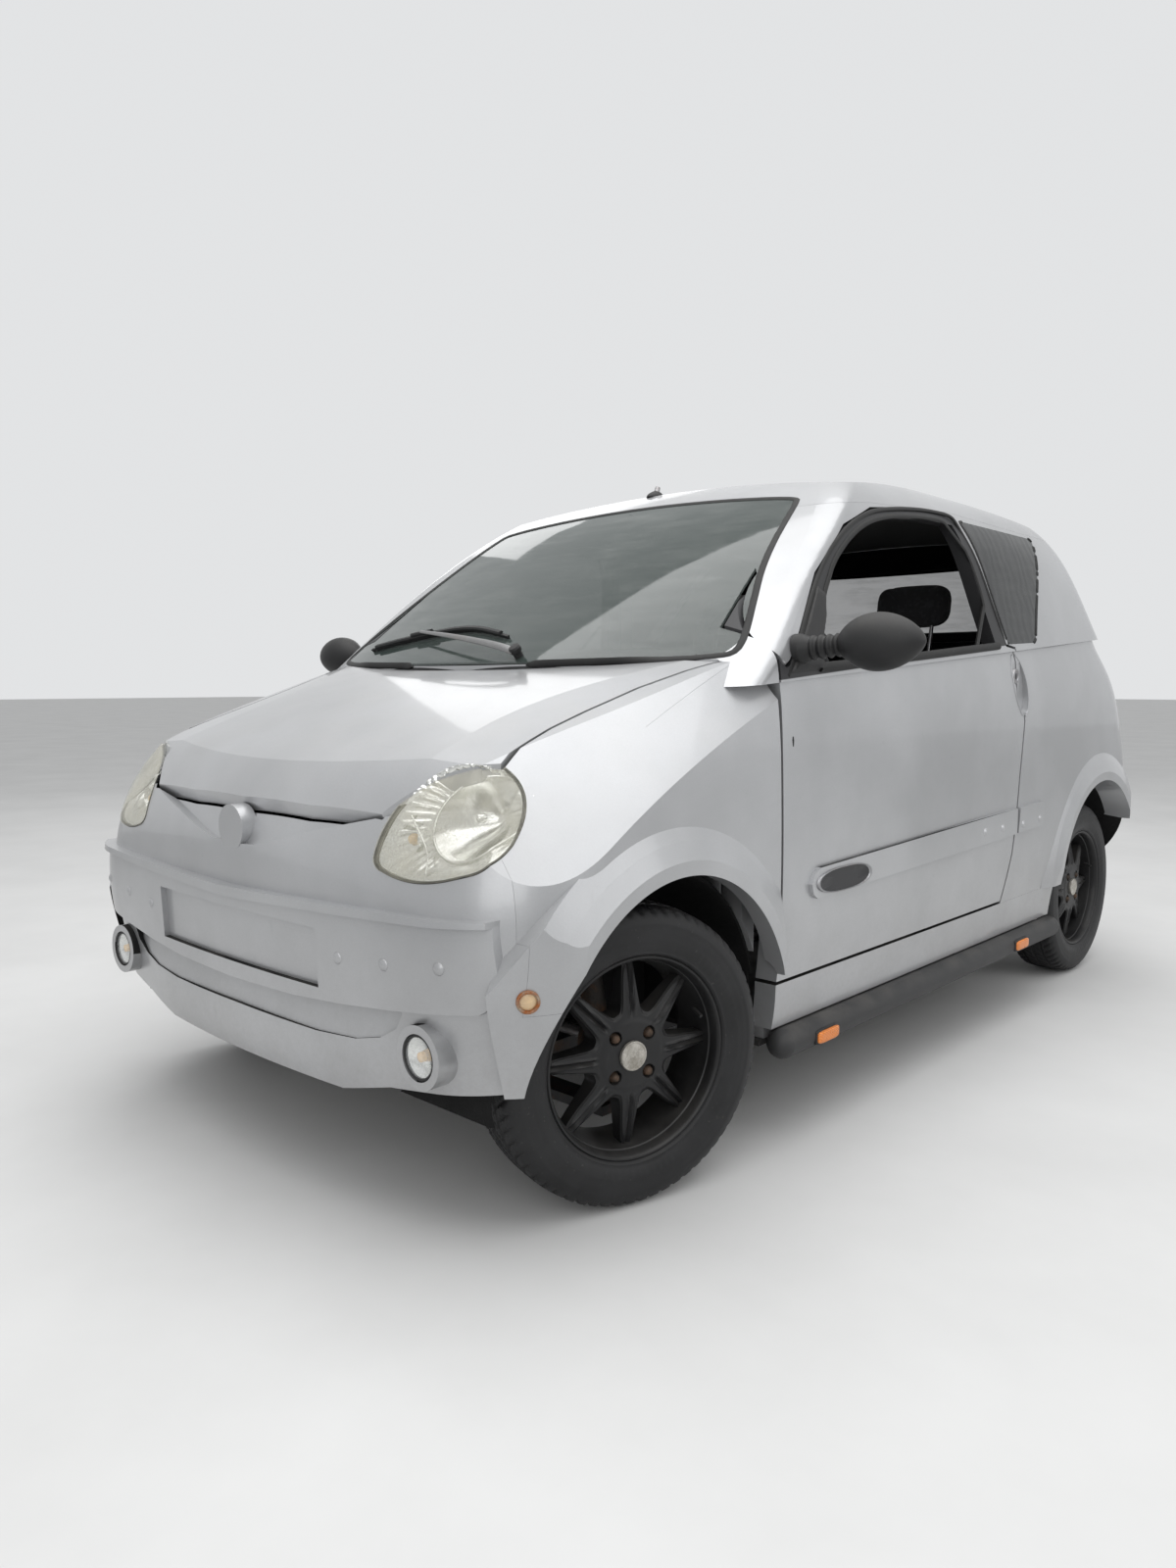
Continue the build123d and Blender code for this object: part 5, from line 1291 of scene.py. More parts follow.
@dataclass
class Headlamp:
    """Two headlamps: a hazed lens over a fluted reflector, a deep bowl, bulbs and a clear indicator pocket."""

    outline: tuple[tuple[float, float], ...] = (
        (0.398, 0.634), (0.404, 0.672), (0.413, 0.707), (0.429, 0.737), (0.449, 0.761), (0.474, 0.779),
        (0.502, 0.787),
        (0.528, 0.787), (0.550, 0.782), (0.576, 0.759), (0.597, 0.731), (0.612, 0.698), (0.621, 0.666),
        (0.620, 0.648),
        (0.612, 0.634), (0.600, 0.625), (0.584, 0.620), (0.542, 0.608), (0.500, 0.603), (0.462, 0.605),
        (0.424, 0.613),
        (0.406, 0.621),
    )
    middle: tuple[float, float] = (0.5445, 0.7000)
    bowl_radius: float = 0.0635
    bowl_depth: float = 0.052
    flutes: int = 46
    columns: int = 220
    wall: float = 0.0028

    def build(self) -> None:
        """Makes the lenses, the reflectors, the bulbs and the gaskets."""
        self.lenses()
        skin = Skin("headlamps")
        reflector, bulbs, gasket = Surface(), Surface(), Surface()
        for side in (1, -1):
            self.reflector(reflector, skin, side)
            self.bulbs(bulbs, reflector, skin, side)
            self.gasket(gasket, skin, side)
        reflector.piece("headlamp_reflectors", [CHROME, TRIM], BODY, "headlamps", angle=50, facing=(0, -1, 0))
        bulbs.piece("headlamp_bulbs", [CLEAR, BULB, CHROME], BODY, "headlamps")
        gasket.piece("headlamp_gaskets", [SEAL], BODY, "headlamps")

    def lenses(self) -> None:
        """The outer skin of the CAD lamps, kept where it faces forward, with a wall behind it."""
        mesh = frame["nodes"]["headlamps"].data.copy()
        mesh.name = "headlamp_lenses"
        mesh.materials.clear()
        work = bmesh.new()
        work.from_mesh(mesh)
        bmesh.ops.remove_doubles(work, verts=work.verts, dist=1e-5)
        hidden = [face for face in work.faces if face.normal.y > -0.2]
        bmesh.ops.delete(work, geom=hidden, context="FACES")
        work.to_mesh(mesh)
        work.free()
        thicken(mesh, self.wall)
        mesh.shade_smooth()
        mesh.set_sharp_from_angle(angle=math.radians(40))
        obj = placed("headlamp_lenses", mesh, [HAZED], BODY)
        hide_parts("headlamps")

    def edge(self, turn: Array) -> Array:
        """The lens outline as seen from the front at each angle about the bowl, drawn in a little."""
        line = rounded(np.asarray(self.outline), 400) - np.asarray(self.middle)
        angle = np.arctan2(line[:, 1], line[:, 0])
        order = np.argsort(angle)
        reach = np.interp(turn, angle[order], np.hypot(line[:, 0], line[:, 1])[order], period=2 * np.pi)
        return np.asarray(self.middle) + 0.972 * reach[..., None] * np.stack([np.cos(turn), np.sin(turn)], -1)

    def depth(self, skin: Skin, places: Array) -> Array:
        """Y of the lens skin at places seen from the front, in any array of pairs."""
        points, _ = skin.meet(places.reshape(-1, 2), axis=1, sign=-1)
        return points[:, 1].reshape(places.shape[:-1])

    def reflector(self, surface: Surface, skin: Skin, side: int) -> None:
        """From the lens outline to the ring the depth rises smoothly with a ripple, inside the ring it is a
        paraboloid: depth x (1 - (r / ring radius)^2)."""
        turn = np.linspace(-np.pi, np.pi, self.columns, endpoint=False)
        out = self.edge(turn)
        ring = np.asarray(self.middle) + self.bowl_radius * np.stack([np.cos(turn), np.sin(turn)], -1)
        share = np.linspace(0, 1, 22)[:, None]
        band = out[None] + (ring - out)[None] * share[..., None]
        rise = 0.0045 + 0.022 * smooth(share, 0.0, 1.0)
        ripple = 0.0016 * np.sin(self.flutes * turn)[None] * np.sin(np.pi
            * share) * smooth(np.cos(turn - 2.6), -0.2, 0.3)
        band_y = self.depth(skin, band) + rise + ripple
        rim_y = band_y[-1]
        floor_y = rim_y.mean() + self.bowl_depth
        radius = np.linspace(1, 0, 18)[1:, None]
        bowl = np.asarray(self.middle) + radius[..., None] * (ring - np.asarray(self.middle))[None]
        bowl_y = rim_y[None] * radius ** 2 + floor_y * (1 - radius ** 2) + 0.006 * (1
            - smooth(radius, 0.90, 1.0)) * 0.5
        places = np.concatenate([band, bowl])
        depths = np.concatenate([band_y, bowl_y])
        points = np.stack([places[..., 0], depths, places[..., 1]], -1)
        surface.grid(mirrored(points, side), around=True)

    def bulbs(self, glass: Surface, bright: Surface, skin: Skin, side: int) -> None:
        """The main bulb with its cap, the indicator's bulb and cup, and the pale rib between the two."""
        x, z = self.middle
        front = float(self.depth(skin, np.array([[x, z]]))[0])
        ahead = np.array([0.0, -1.0, 0.0])
        base = mirrored(np.array([x, front + 0.070, z]), side)
        glass.lathe([(0, 0.006), (0.020, 0.0075), (0.027, 0.007), (0.0305, 0.004), (0.0315, 0)], base, ahead,
            24)
        bright.lathe([(0.016, 0.0082), (0.0285, 0.0078), (0.0315, 0.005), (0.0325, 0)], base, ahead, 24)
        cup = np.array([[0.4510, 0.6640]])
        place = mirrored(np.array([cup[0, 0], float(self.depth(skin, cup)[0]) + 0.036, cup[0, 1]]), side)
        bright.lathe([(-0.002, 0), (0.0, 0.010), (0.012, 0.019), (0.020, 0.022), (0.0215, 0.0235)], place,
            ahead, 36)
        glass.lathe([(0, 0.007), (0.008, 0.010), (0.016, 0.0095), (0.021, 0.006), (0.023, 0)], place, ahead,
            24, slot=1)
        rib = rounded(np.array([(0.4450, 0.7020), (0.5060, 0.6520), (0.5100, 0.6180)]), 24, 3, closed=False)
        path = np.stack([rib[:, 0], self.depth(skin, rib) + 0.0055, rib[:, 1]], -1)
        bright.tube(mirrored(path, side), 0.0016, 8, up=(0, 1, 0))
        turn = np.linspace(0, 2 * np.pi, 90, endpoint=False)
        ring = np.asarray(self.middle) + (self.bowl_radius + 0.001) * np.stack([np.cos(turn), np.sin(turn)],
            -1)
        path = np.stack([ring[:, 0], self.depth(skin, ring) + 0.0255, ring[:, 1]], -1)
        bright.tube(mirrored(path, side), 0.0024, 8, up=(0, 1, 0), loop=True)

    def gasket(self, surface: Surface, skin: Skin, side: int) -> None:
        """A thin black seal that follows the lens outline."""
        turn = np.linspace(-np.pi, np.pi, 160, endpoint=False)
        line = np.asarray(self.middle) + (self.edge(turn) - np.asarray(self.middle)) * 1.022
        points, normals = skin.meet(line, axis=1, sign=-1)
        smoothed = unit(normals + np.roll(normals, 1, 0) + np.roll(normals, -1, 0))
        section = [(-0.0022, -0.0030), (0.0022, -0.0030), (0.0022, 0.0002), (0.0, 0.0009), (-0.0022, 0.0002)]
        surface.ribbon(mirrored(points, side), mirrored(smoothed, side), section, loop=True)


@dataclass
class FrontTrim:
    """Fog lamps, marker lamps with their rusty rings, bumper rivets and the wiper."""

    fog_place: tuple[float, float, float] = (0.515, -1.4515, 0.332)
    fog_radius: float = 0.0375
    marker_place: tuple[float, float] = (-0.335, 0.439)
    rivets: tuple[tuple[float, float], ...] = (
        (0.332, 0.462), (0.447, 0.470), (0.566, 0.482), (-0.332, 0.462), (-0.447, 0.470), (-0.566, 0.482),
    )
    blade: tuple[tuple[float, float], ...] = ((-0.483, 0.991), (-0.264, 1.017), (-0.085, 1.034),
        (0.071, 1.008))
    pivot: tuple[float, float] = (0.153, 0.968)

    def build(self) -> None:
        """Makes each fitting on both sides."""
        fogs, markers, heads = Surface(), Surface(), Surface()
        for side in (1, -1):
            self.fog(fogs, side)
            self.marker(markers, side)
        obj = fogs.piece("fog_lamp_units", [CLEAR, CHROME, TRIM, BULB], BODY, "fog_lamps")
        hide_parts("fog_lamps")
        markers.piece("marker_lamps", [RUSTY, BULB, TRIM], BODY, "front_bumper")
        points, normals = on_front(self.rivets, "front_bumper")
        for point, normal in zip(points, normals):
            dome(heads, point, normal, 0.0105, 0.0042)
        heads.piece("bumper_rivets", [SILVER], BODY, "front_bumper", angle=60)
        self.wiper()

    def fog(self, surface: Surface, side: int) -> None:
        """A clear lens over a ribbed bowl with a bulb shield, turned about the line of travel."""
        centre = mirrored(np.asarray(self.fog_place), side)
        ahead = np.array([0.0, -1.0, 0.0])
        r = self.fog_radius
        lens = [(-0.0005, r - 0.0035), (0.0020, r - 0.0035)]
        lens += [(0.0020 + 0.0052 * (1 - s * s), (r - 0.004) * s) for s in np.linspace(1, 0, 12)]
        surface.lathe(lens, centre, ahead, 48)
        bezel = [(-0.010, r), (0.0015, r), (0.0040, r - 0.0012), (0.0045, r - 0.0032), (0.0028, r - 0.0052),
            (-0.001, r - 0.0052)]
        surface.lathe(bezel, centre, ahead, 64, slot=2)
        bowl = [(-0.0010, r - 0.0050)] + [(-0.0085 + 0.0075 * s * s, (r - 0.005) * s)
            for s in np.linspace(0.97, 0, 16)]
        surface.lathe(bowl, centre, ahead, 48, slot=1)
        surface.lathe([(-0.009, r), (-0.0095, 0.0)], centre, ahead, 32, slot=2)
        surface.lathe([(-0.0070, 0.0085), (-0.0005, 0.0080), (0.0010, 0.0060), (0.0016, 0.0)], centre, ahead,
            24, slot=3)

    def marker(self, surface: Surface, side: int) -> None:
        """A round marker lamp low on the fender, its ring streaked with rust."""
        points, normals = on_side([self.marker_place], "fender_left")
        point, normal = mirrored(points[0], side), mirrored(normals[0], side)
        ring = [(-0.002, 0.0185), (0.0030, 0.0185), (0.0046, 0.0172), (0.0046, 0.0150), (0.0030, 0.0136),
            (0.0, 0.0134)]
        surface.lathe(ring, point, normal, 40)
        lens = [(0.0000, 0.0136)] + [(0.0005 + 0.0036 * (1 - s * s), 0.0132 * s)
            for s in np.linspace(1, 0, 8)]
        surface.lathe(lens, point, normal, 32, slot=1)

    def wiper(self) -> None:
        """One long wiper: a rubber blade on a spined frame, a pressed arm and its pivot with a cap."""
        skin = Skin("windscreen")
        line = rounded(np.asarray(self.blade), 60, 3, closed=False)
        points, normals = skin.meet(line, axis=1, sign=-1)
        normals = unit(np.stack([np.convolve(np.pad(normals[:, k], 6, "edge"), np.ones(13) / 13, "valid")
            for k in range(3)], -1))
        made = Surface()
        rubber = [(-0.0012, 0.0), (0.0012, 0.0), (0.0030, 0.007), (0.0030, 0.009), (-0.0030, 0.009),
            (-0.0030, 0.007)]
        made.ribbon(points, normals, rubber)
        spine = [(-0.0055, 0.009), (0.0055, 0.009), (0.0060, 0.012), (0.0035, 0.0155), (-0.0035, 0.0155),
            (-0.0060, 0.012)]
        made.ribbon(points[3:-3], normals[3:-3], spine)
        foot = skin.meet(np.array([self.pivot]), axis=1, sign=-1)[0][0]
        middle = points[24] + normals[24] * 0.022
        knee = foot + np.array([-0.045, -0.022, 0.024])
        arm = rounded(np.array([foot + [0.0, -0.016, 0.010], knee, 0.5 * (knee + middle) + [0, -0.010, 0.004],
            middle]), 40, 3, closed=False)
        made.tube(arm, np.linspace(0.0095, 0.0042, 40), 12, slot=1, up=(0, -0.8, 0.6), flat=0.5)
        saddle = points[20:29] + normals[20:29] * 0.017
        made.tube(saddle, 0.0058, 10, up=(0, -0.8, 0.6))
        upright = unit(np.array([0.0, -0.62, 0.78]))
        made.lathe([(-0.030, 0.010), (0.010, 0.010), (0.013, 0.013), (0.022, 0.0135), (0.026, 0.011),
            (0.027, 0.0)], foot, upright, 28)
        made.piece("windscreen_wiper",
            [TRIM, Metal("wiper_arm", (0.20, 0.20, 0.20), 0.42, metal=0.4, rust=0.15)], BODY, "windscreen")


@dataclass
class Mirrors:
    """Egg-shaped black door mirrors on ribbed bellows, each with its glass on the rear face."""

    start: float = 0.765
    end: float = 0.940
    station: float = 0.405
    height: float = 0.988
    belly: float = 0.0545
    rear_cut: float = 0.020

    def build(self) -> None:
        """One mirror for each door, riding on the door."""
        for hand, side in (("left", 1), ("right", -1)):
            surface = Surface()
            self.shell(surface, side)
            self.neck(surface, side)
            obj = surface.piece(f"door_mirror_{hand}", [TRIM, MIRROR, SEAL], f"door_{hand}", f"mirror_{hand}",
                angle=38)
            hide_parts(f"mirror_{hand}")

    def shell(self, surface: Surface, side: int) -> None:
        """The egg's radius is belly x sin(pi t^0.93)^0.6 along its length; its rear is cut flat and dished
        a little for the glass."""
        t = (0.5 - 0.5 * np.cos(np.linspace(0, np.pi, 56)))[:, None]
        u = np.linspace(0, 2 * np.pi, 64, endpoint=False)[None]
        radius = self.belly * np.maximum(np.sin(np.pi * t ** 0.93), 0) ** 0.60
        x = self.start + (self.end - self.start) * t + 0 * u
        y = radius * np.cos(u)
        z = radius * np.sin(u)
        y = np.where(y > self.rear_cut, self.rear_cut + 0.10 * (y - self.rear_cut), y)
        points = np.stack([x, at_station(self.station) + y, self.height + z], -1)
        surface.grid(mirrored(points, side), around=True)
        centre = np.array([0.853, at_station(self.station) + self.rear_cut + 0.0030, self.height])
        surface.pillow(mirrored(centre, side), (0.068, 0.0022, 0.036), power=3.2, count=40, slot=1)

    def neck(self, surface: Surface, side: int) -> None:
        """Bellows between the egg and a rounded foot on the door: the radius waves six times."""
        foot = np.array([0.684, at_station(self.station - 0.016), self.height - 0.012])
        head = np.array([self.start + 0.014, at_station(self.station), self.height - 0.003])
        along = np.linspace(0, 1, 90)
        length = float(np.linalg.norm(head - foot))
        ribs = 0.0235 - 0.0035 * along + 0.0022 * np.sin(along * 2 * np.pi * 6.0) * smooth(along, 0.28, 0.36)
        ribs = ribs + 0.0075 * (1 - smooth(along, 0.10, 0.34))
        profile = [(0.0, 0.0)] + list(zip(along * length, ribs)) + [(length, 0.0)]
        surface.lathe(profile, mirrored(foot, side), mirrored(head - foot, side), 40)


@dataclass
class DoorTrim:
    """Sail, seals and waist moulding of a door, its lock and flap, rivets, badge plate and hinge pads."""

    window: tuple[tuple[float, float], ...] = (
        (0.446, 0.948), (0.950, 0.983), (1.332, 1.012), (1.262, 1.312), (1.100, 1.310), (0.860, 1.284),
        (0.705, 1.232),
        (0.560, 1.134),
    )
    sail: tuple[tuple[float, float], ...] = ((0.352, 0.931), (0.470, 0.938), (0.530, 1.098), (0.510, 1.110))
    rivets: tuple[tuple[float, float], ...] = ((1.224, 0.540), (1.334, 0.539))
    quarter_rivets: tuple[tuple[float, float], ...] = ((1.471, 0.536), (1.589, 0.541))
    badge_centre: tuple[float, float] = (0.532, 0.5165)
    badge_half: tuple[float, float] = (0.108, 0.0255)
    frame: tuple[tuple[float, float], ...] = (
        (0.342, 0.926), (0.391, 0.984), (0.452, 1.058), (0.520, 1.130), (0.600, 1.194), (0.690, 1.248),
        (0.780, 1.283),
        (0.860, 1.305), (0.990, 1.324), (1.120, 1.337), (1.225, 1.341), (1.275, 1.336), (1.293, 1.312),
        (1.328, 1.240),
        (1.366, 1.120), (1.401, 1.010),
    )
    dish_centre: tuple[float, float] = (1.474, 0.905)
    dish_half: tuple[float, float] = (0.042, 0.082)
    dish_lean: float = math.radians(18)
    shut_line: tuple[tuple[float, float], ...] = ((0.669, 1.459), (0.810, 1.490), (0.955, 1.458),
        (1.000, 1.452))

    def build(self) -> None:
        """Dresses both doors and what belongs to them behind the shut line."""
        for hand, side in (("left", 1), ("right", -1)):
            self.seals(hand, side)
            self.sail_plate(hand, side)
            self.handle(hand, side)
            self.strip(hand, side)
            self.lining(hand, side)
            self.frame_seal(hand, side)
            self.dish_rim(hand, side)

    def loop(self, outline: Sequence[tuple[float, float]], count: int, node: str,
            closed: bool = True) -> tuple[Array, Array]:
        """An outline laid on the left side's skin, with its normals evened out along the line."""
        line = rounded(np.asarray(outline), count, 3, closed)
        points, normals = on_side(line, node)
        pad = "wrap" if closed else "edge"
        even = [np.convolve(np.pad(normals[:, k], 5, pad), np.ones(11) / 11, "valid") for k in range(3)]
        return points, unit(np.stack(even, -1))

    def seals(self, hand: str, side: int) -> None:
        """A rubber lip round the window opening and a thick waist moulding below it."""
        surface = Surface()
        middle = np.asarray(self.window).mean(0)
        wider = middle + (np.asarray(self.window) - middle) * np.array([1.022, 1.045])
        points, normals = self.loop(wider, 220, "door_left")
        lip = [(-0.0050, -0.0040), (0.0050, -0.0040), (0.0060, 0.0010), (0.0030, 0.0035), (-0.0030, 0.0035),
            (-0.0060, 0.0010)]
        surface.ribbon(mirrored(points, side), mirrored(normals, side), lip, loop=True)
        waist = np.array([(0.455, 0.943), (0.700, 0.9585), (0.950, 0.9765), (1.150, 0.9915), (1.345, 1.0060)])
        points, normals = self.loop(waist, 90, "door_left", closed=False)
        bar = [(-0.0085, -0.003), (0.0085, -0.003), (0.0095, 0.003), (0.0055, 0.0075), (-0.0055, 0.0075),
            (-0.0095, 0.003)]
        surface.ribbon(mirrored(points, side), mirrored(normals, side), bar)
        surface.piece(f"window_seals_{hand}", [SEAL], f"door_{hand}", f"door_{hand}", angle=50)

    def sail_plate(self, hand: str, side: int) -> None:
        """The black plate that carries the mirror: a four-sided patch raised from the skin with soft edges."""
        corners = np.asarray(self.sail)
        u = np.linspace(0, 1, 26)[:, None, None]
        v = np.linspace(0, 1, 26)[None, :, None]
        low = corners[0] + (corners[1] - corners[0]) * u
        high = corners[3] + (corners[2] - corners[3]) * u
        flat = low + (high - low) * v
        points, normals = on_side(flat.reshape(-1, 2), "door_left")
        normal = unit(normals.mean(0))
        edge = np.minimum(np.minimum(u, 1 - u), np.minimum(v, 1 - v))[..., 0]
        lift = -0.004 + 0.0085 * smooth(edge, 0.0, 0.06)
        raised = points.reshape(26, 26, 3) + lift[..., None] * normal
        surface = Surface()
        surface.grid(mirrored(raised, side))
        surface.piece(
            f"mirror_sail_{hand}", [TRIM], f"door_{hand}", f"door_{hand}", angle=45, facing=(side, 0, 0),
            wall=0.003
        )

    def handle(self, hand: str, side: int) -> None:
        """In the dish, the round lock with its slot on the door, and the pull flap that ends at the shut line."""
        surface = Surface()
        place = mirrored(np.array([0.6865, at_station(1.4440), 0.9290]), side)
        outward = np.array([side, 0.0, 0.0])
        barrel = [(-0.002, 0.0200), (0.0085, 0.0200), (0.0105, 0.0184), (0.0105, 0.0135), (0.0088, 0.0126),
            (0.0088, 0.0)]
        surface.lathe(barrel, place, outward, 32, slot=1)
        surface.pillow(place + 0.0090 * outward, (0.0010, 0.0026, 0.0085), power=3, count=16, slot=2)
        lean = math.radians(14)
        axes = (np.array([1.0, 0, 0]), np.array([0, math.cos(lean), math.sin(lean)]),
            np.array([0, -math.sin(lean), math.cos(lean)]))
        flap = mirrored(np.array([0.6915, at_station(1.4430), 0.8720]), side)
        surface.pillow(flap, (0.0075, 0.0105, 0.0400), axes, power=3.5, count=32)
        surface.piece(f"door_handle_{hand}", [SILVER, STEEL, SEAL], f"door_{hand}", f"door_{hand}", angle=45)

    def strip(self, hand: str, side: int) -> None:
        """Round rivets on the side strip, the blank oval plate on its front, and the pads at the shut line."""
        heads = Surface()
        points, normals = on_side(self.rivets, "door_left")
        for point, normal in zip(points, normals):
            dome(heads, mirrored(point, side), mirrored(normal, side), 0.0105, 0.0045)
        self.badge(heads, side)
        for station, height in ((0.352, 0.794), (0.356, 0.643)):
            place = np.array([0.7000, at_station(station), height])
            heads.pillow(mirrored(place, side), (0.0035, 0.0045, 0.0190), power=4, count=16, slot=2)
        heads.piece(f"door_fittings_{hand}", [SILVER, BADGE, SEAL, STEEL], f"door_{hand}", f"door_{hand}",
            angle=50)
        rear = Surface()
        points, normals = on_side(self.quarter_rivets, "quarter_left")
        for point, normal in zip(points, normals):
            dome(rear, mirrored(point, side), mirrored(normal, side), 0.0105, 0.0045)
        rear.piece(f"quarter_rivets_{hand}", [SILVER], BODY, f"quarter_{hand}", angle=60)

    def badge(self, surface: Surface, side: int) -> None:
        """A plain dark oval with a bright rim: rows of ovals from the rim inwards, raised from the strip."""
        turn = np.linspace(0, 2 * np.pi, 96, endpoint=False)
        oval = np.stack([
            np.sign(np.cos(turn)) * np.abs(np.cos(turn)) ** 0.75,
            np.sign(np.sin(turn)) * np.abs(np.sin(turn)) ** 0.9
        ], -1)
        shares = np.array([1.0, 1.0, 0.985, 0.95, 0.925, 0.90, 0.45, 0.0])
        lifts = np.array([-0.004, 0.0025, 0.0042, 0.0044, 0.0036, 0.0020, 0.0020, 0.0020])
        flat = np.asarray(self.badge_centre) + shares[:, None,
            None] * np.asarray(self.badge_half) * oval[None]
        points, normals = on_side(flat.reshape(-1, 2), "door_left")
        normal = unit(normals.mean(0))
        plane = points.mean(0)
        depth = ((plane - points) @ normal)[:, None] * normal * 0.9
        raised = (points + depth).reshape(len(shares), -1, 3) + lifts[:, None, None] * normal
        surface.grid(mirrored(raised[:6], side), around=True, slot=3)
        surface.grid(mirrored(raised[5:], side), around=True, slot=1)

    def frame_seal(self, hand: str, side: int) -> None:
        """The body's rubber over the gap round the door frame, level with the higher of its two edges."""
        nodes = ("door_left", "cabin_frame", "roof_panel", "quarter_left")
        line = rounded(np.asarray(self.frame), 150, 2, closed=False)
        across = unit(np.gradient(line, axis=0)[:, ::-1] * np.array([-1, 1]))
        rows = [on_side(line + shift * across, *nodes) for shift in (-0.006, 0.0, 0.006)]
        reach = np.stack([row[0][:, 0] for row in rows]).max(0)
        even = np.convolve(np.pad(reach, 6, "edge"), np.ones(13) / 13, "valid")
        normals = unit(rows[0][1] + rows[2][1])
        normals = unit(np.stack([np.convolve(np.pad(normals[:, k], 6, "edge"), np.ones(13) / 13, "valid")
            for k in range(3)], -1))
        points = np.stack([even, at_station(line[:, 0]), line[:, 1]], -1)
        lip = [(-0.0046, -0.0030), (0.0046, -0.0030), (0.0050, 0.0004), (0.0026, 0.0020), (-0.0026, 0.0020),
            (-0.0050, 0.0004)]
        surface = Surface()
        surface.ribbon(mirrored(points, side), mirrored(normals, side), lip)
        surface.piece(f"door_frame_seal_{hand}", [SEAL], BODY, "cabin_frame", angle=50)

    def dish_rim(self, hand: str, side: int) -> None:
        """A raised silver edge round the handle's dish, cut in two at the shut line."""
        turn = np.linspace(0, 2 * np.pi, 240, endpoint=False)
        flat = np.stack([self.dish_half[0] * np.cos(turn), self.dish_half[1] * np.sin(turn)], -1) * 1.03
        c, s = math.cos(self.dish_lean), math.sin(self.dish_lean)
        line = np.asarray(self.dish_centre) + flat @ np.array([[c, -s], [s, c]]).T
        height, station = np.asarray(self.shut_line).T
        edge = np.interp(line[:, 1], height, station)
        section = [(-0.0030, -0.0020), (0.0030, -0.0020), (0.0026, 0.0012), (0.0, 0.0024), (-0.0026, 0.0012)]
        for node, body, keep in (
            (f"door_{hand}", f"door_{hand}", line[:, 0] < edge - 0.004),
            (f"quarter_{hand}", BODY, line[:, 0] > edge + 0.004),
        ):
            first = int(np.flatnonzero(keep & ~np.roll(keep, 1))[0])
            part = np.roll(line, -first, axis=0)[: int(keep.sum())]
            points, normals = on_side(part, node.replace("right", "left"))
            surface = Surface()
            surface.ribbon(mirrored(points, side), mirrored(normals, side), section)
            surface.piece(f"dish_rim_{node}", [SILVER], body, node, angle=50)

    def lining(self, hand: str, side: int) -> None:
        """On the inside of the door an armrest, a pull strap and the window winder."""
        surface = Surface()
        surface.pillow(mirrored(np.array([0.636, at_station(0.95), 0.745]), side), (0.022, 0.190, 0.026),
            power=4.5, count=40)
        surface.pillow(mirrored(np.array([0.643, at_station(0.78), 0.540]), side), (0.014, 0.220, 0.085),
            power=6, count=40)
        hub = mirrored(np.array([0.640, at_station(0.62), 0.690]), side)
        inward = np.array([-side, 0.0, 0.0])
        surface.lathe([(-0.01, 0.024), (0.016, 0.022), (0.020, 0.017), (0.021, 0)], hub, inward, 32)
        crank = np.linspace(hub + 0.018 * inward, hub + 0.026 * inward + np.array([0, 0.085, 0.030]), 12)
        surface.tube(crank, np.linspace(0.009, 0.006, 12), 12, flat=0.6)
        surface.lathe([(0.0, 0.0), (0.0, 0.009), (0.024, 0.011), (0.030, 0.008), (0.031, 0)], crank[-1],
            inward, 24)
        surface.piece(f"door_lining_{hand}", [DASH], f"door_{hand}", f"door_{hand}", angle=50)


@dataclass
class TubeMarkers:
    """Small amber markers on the side tubes, in black cases."""

    places: tuple[tuple[float, float], ...] = ((0.471, 0.2035), (1.484, 0.2080))
    half: tuple[float, float, float] = (0.0070, 0.0400, 0.0125)

    def build(self) -> None:
        """Two markers on each side."""
        surface = Surface()
        for side in (1, -1):
            for station, height in self.places:
                centre = np.array([0.7205, at_station(station), height])
                surface.pillow(mirrored(centre, side), self.half, power=6, count=32)
                case = centre - np.array([0.0045, 0, 0])
                larger = np.asarray(self.half) + np.array([0.0, 0.004, 0.003])
                surface.pillow(mirrored(case, side), larger, power=8, count=32, slot=1)
        surface.piece("tube_markers", [AMBER, TRIM], BODY, "side_tubes", angle=40)


def inflated(obj: bpy.types.Object, voxel: float, pressure: float, cap: float) -> None:
    """Fills a closed form with air as cloth, so that it swells and wrinkles like a stuffed cover.

    The mesh is remeshed evenly, run as cloth for twenty frames without gravity, and each point then
    moves by the part of its way that fits the cap.

    Args:
        obj: The closed form, already in place.
        voxel: Mesh size of the cover, in metres.
        pressure: Cloth pressure.
        cap: The furthest that a point may move, in metres.
    """
    scene = bpy.context.scene
    even = obj.modifiers.new("even", "REMESH")
    even.mode = "VOXEL"
    even.voxel_size = voxel
    apply_modifiers(obj)
    start = mesh_points(obj.data)
    cloth = obj.modifiers.new("air", "CLOTH")
    cloth.settings.use_pressure = True
    cloth.settings.uniform_pressure_force = pressure
    cloth.settings.quality = 5
    cloth.settings.mass = 0.3
    cloth.settings.tension_stiffness = 18
    cloth.settings.compression_stiffness = 18
    cloth.settings.bending_stiffness = 0.6
    cloth.settings.effector_weights.gravity = 0
    cloth.point_cache.frame_start = 1
    cloth.point_cache.frame_end = 20
    for number in range(1, 21):
        scene.frame_set(number)
    seen = obj.evaluated_get(bpy.context.evaluated_depsgraph_get())
    moved = mesh_points(seen.data)
    obj.modifiers.clear()
    scene.frame_set(1)
    way = moved - start
    length = np.linalg.norm(way, axis=1, keepdims=True)
    held = start + way * np.minimum(1, cap / np.maximum(length, 1e-9))
    obj.data.vertices.foreach_set("co", held.ravel())
    obj.data.update()


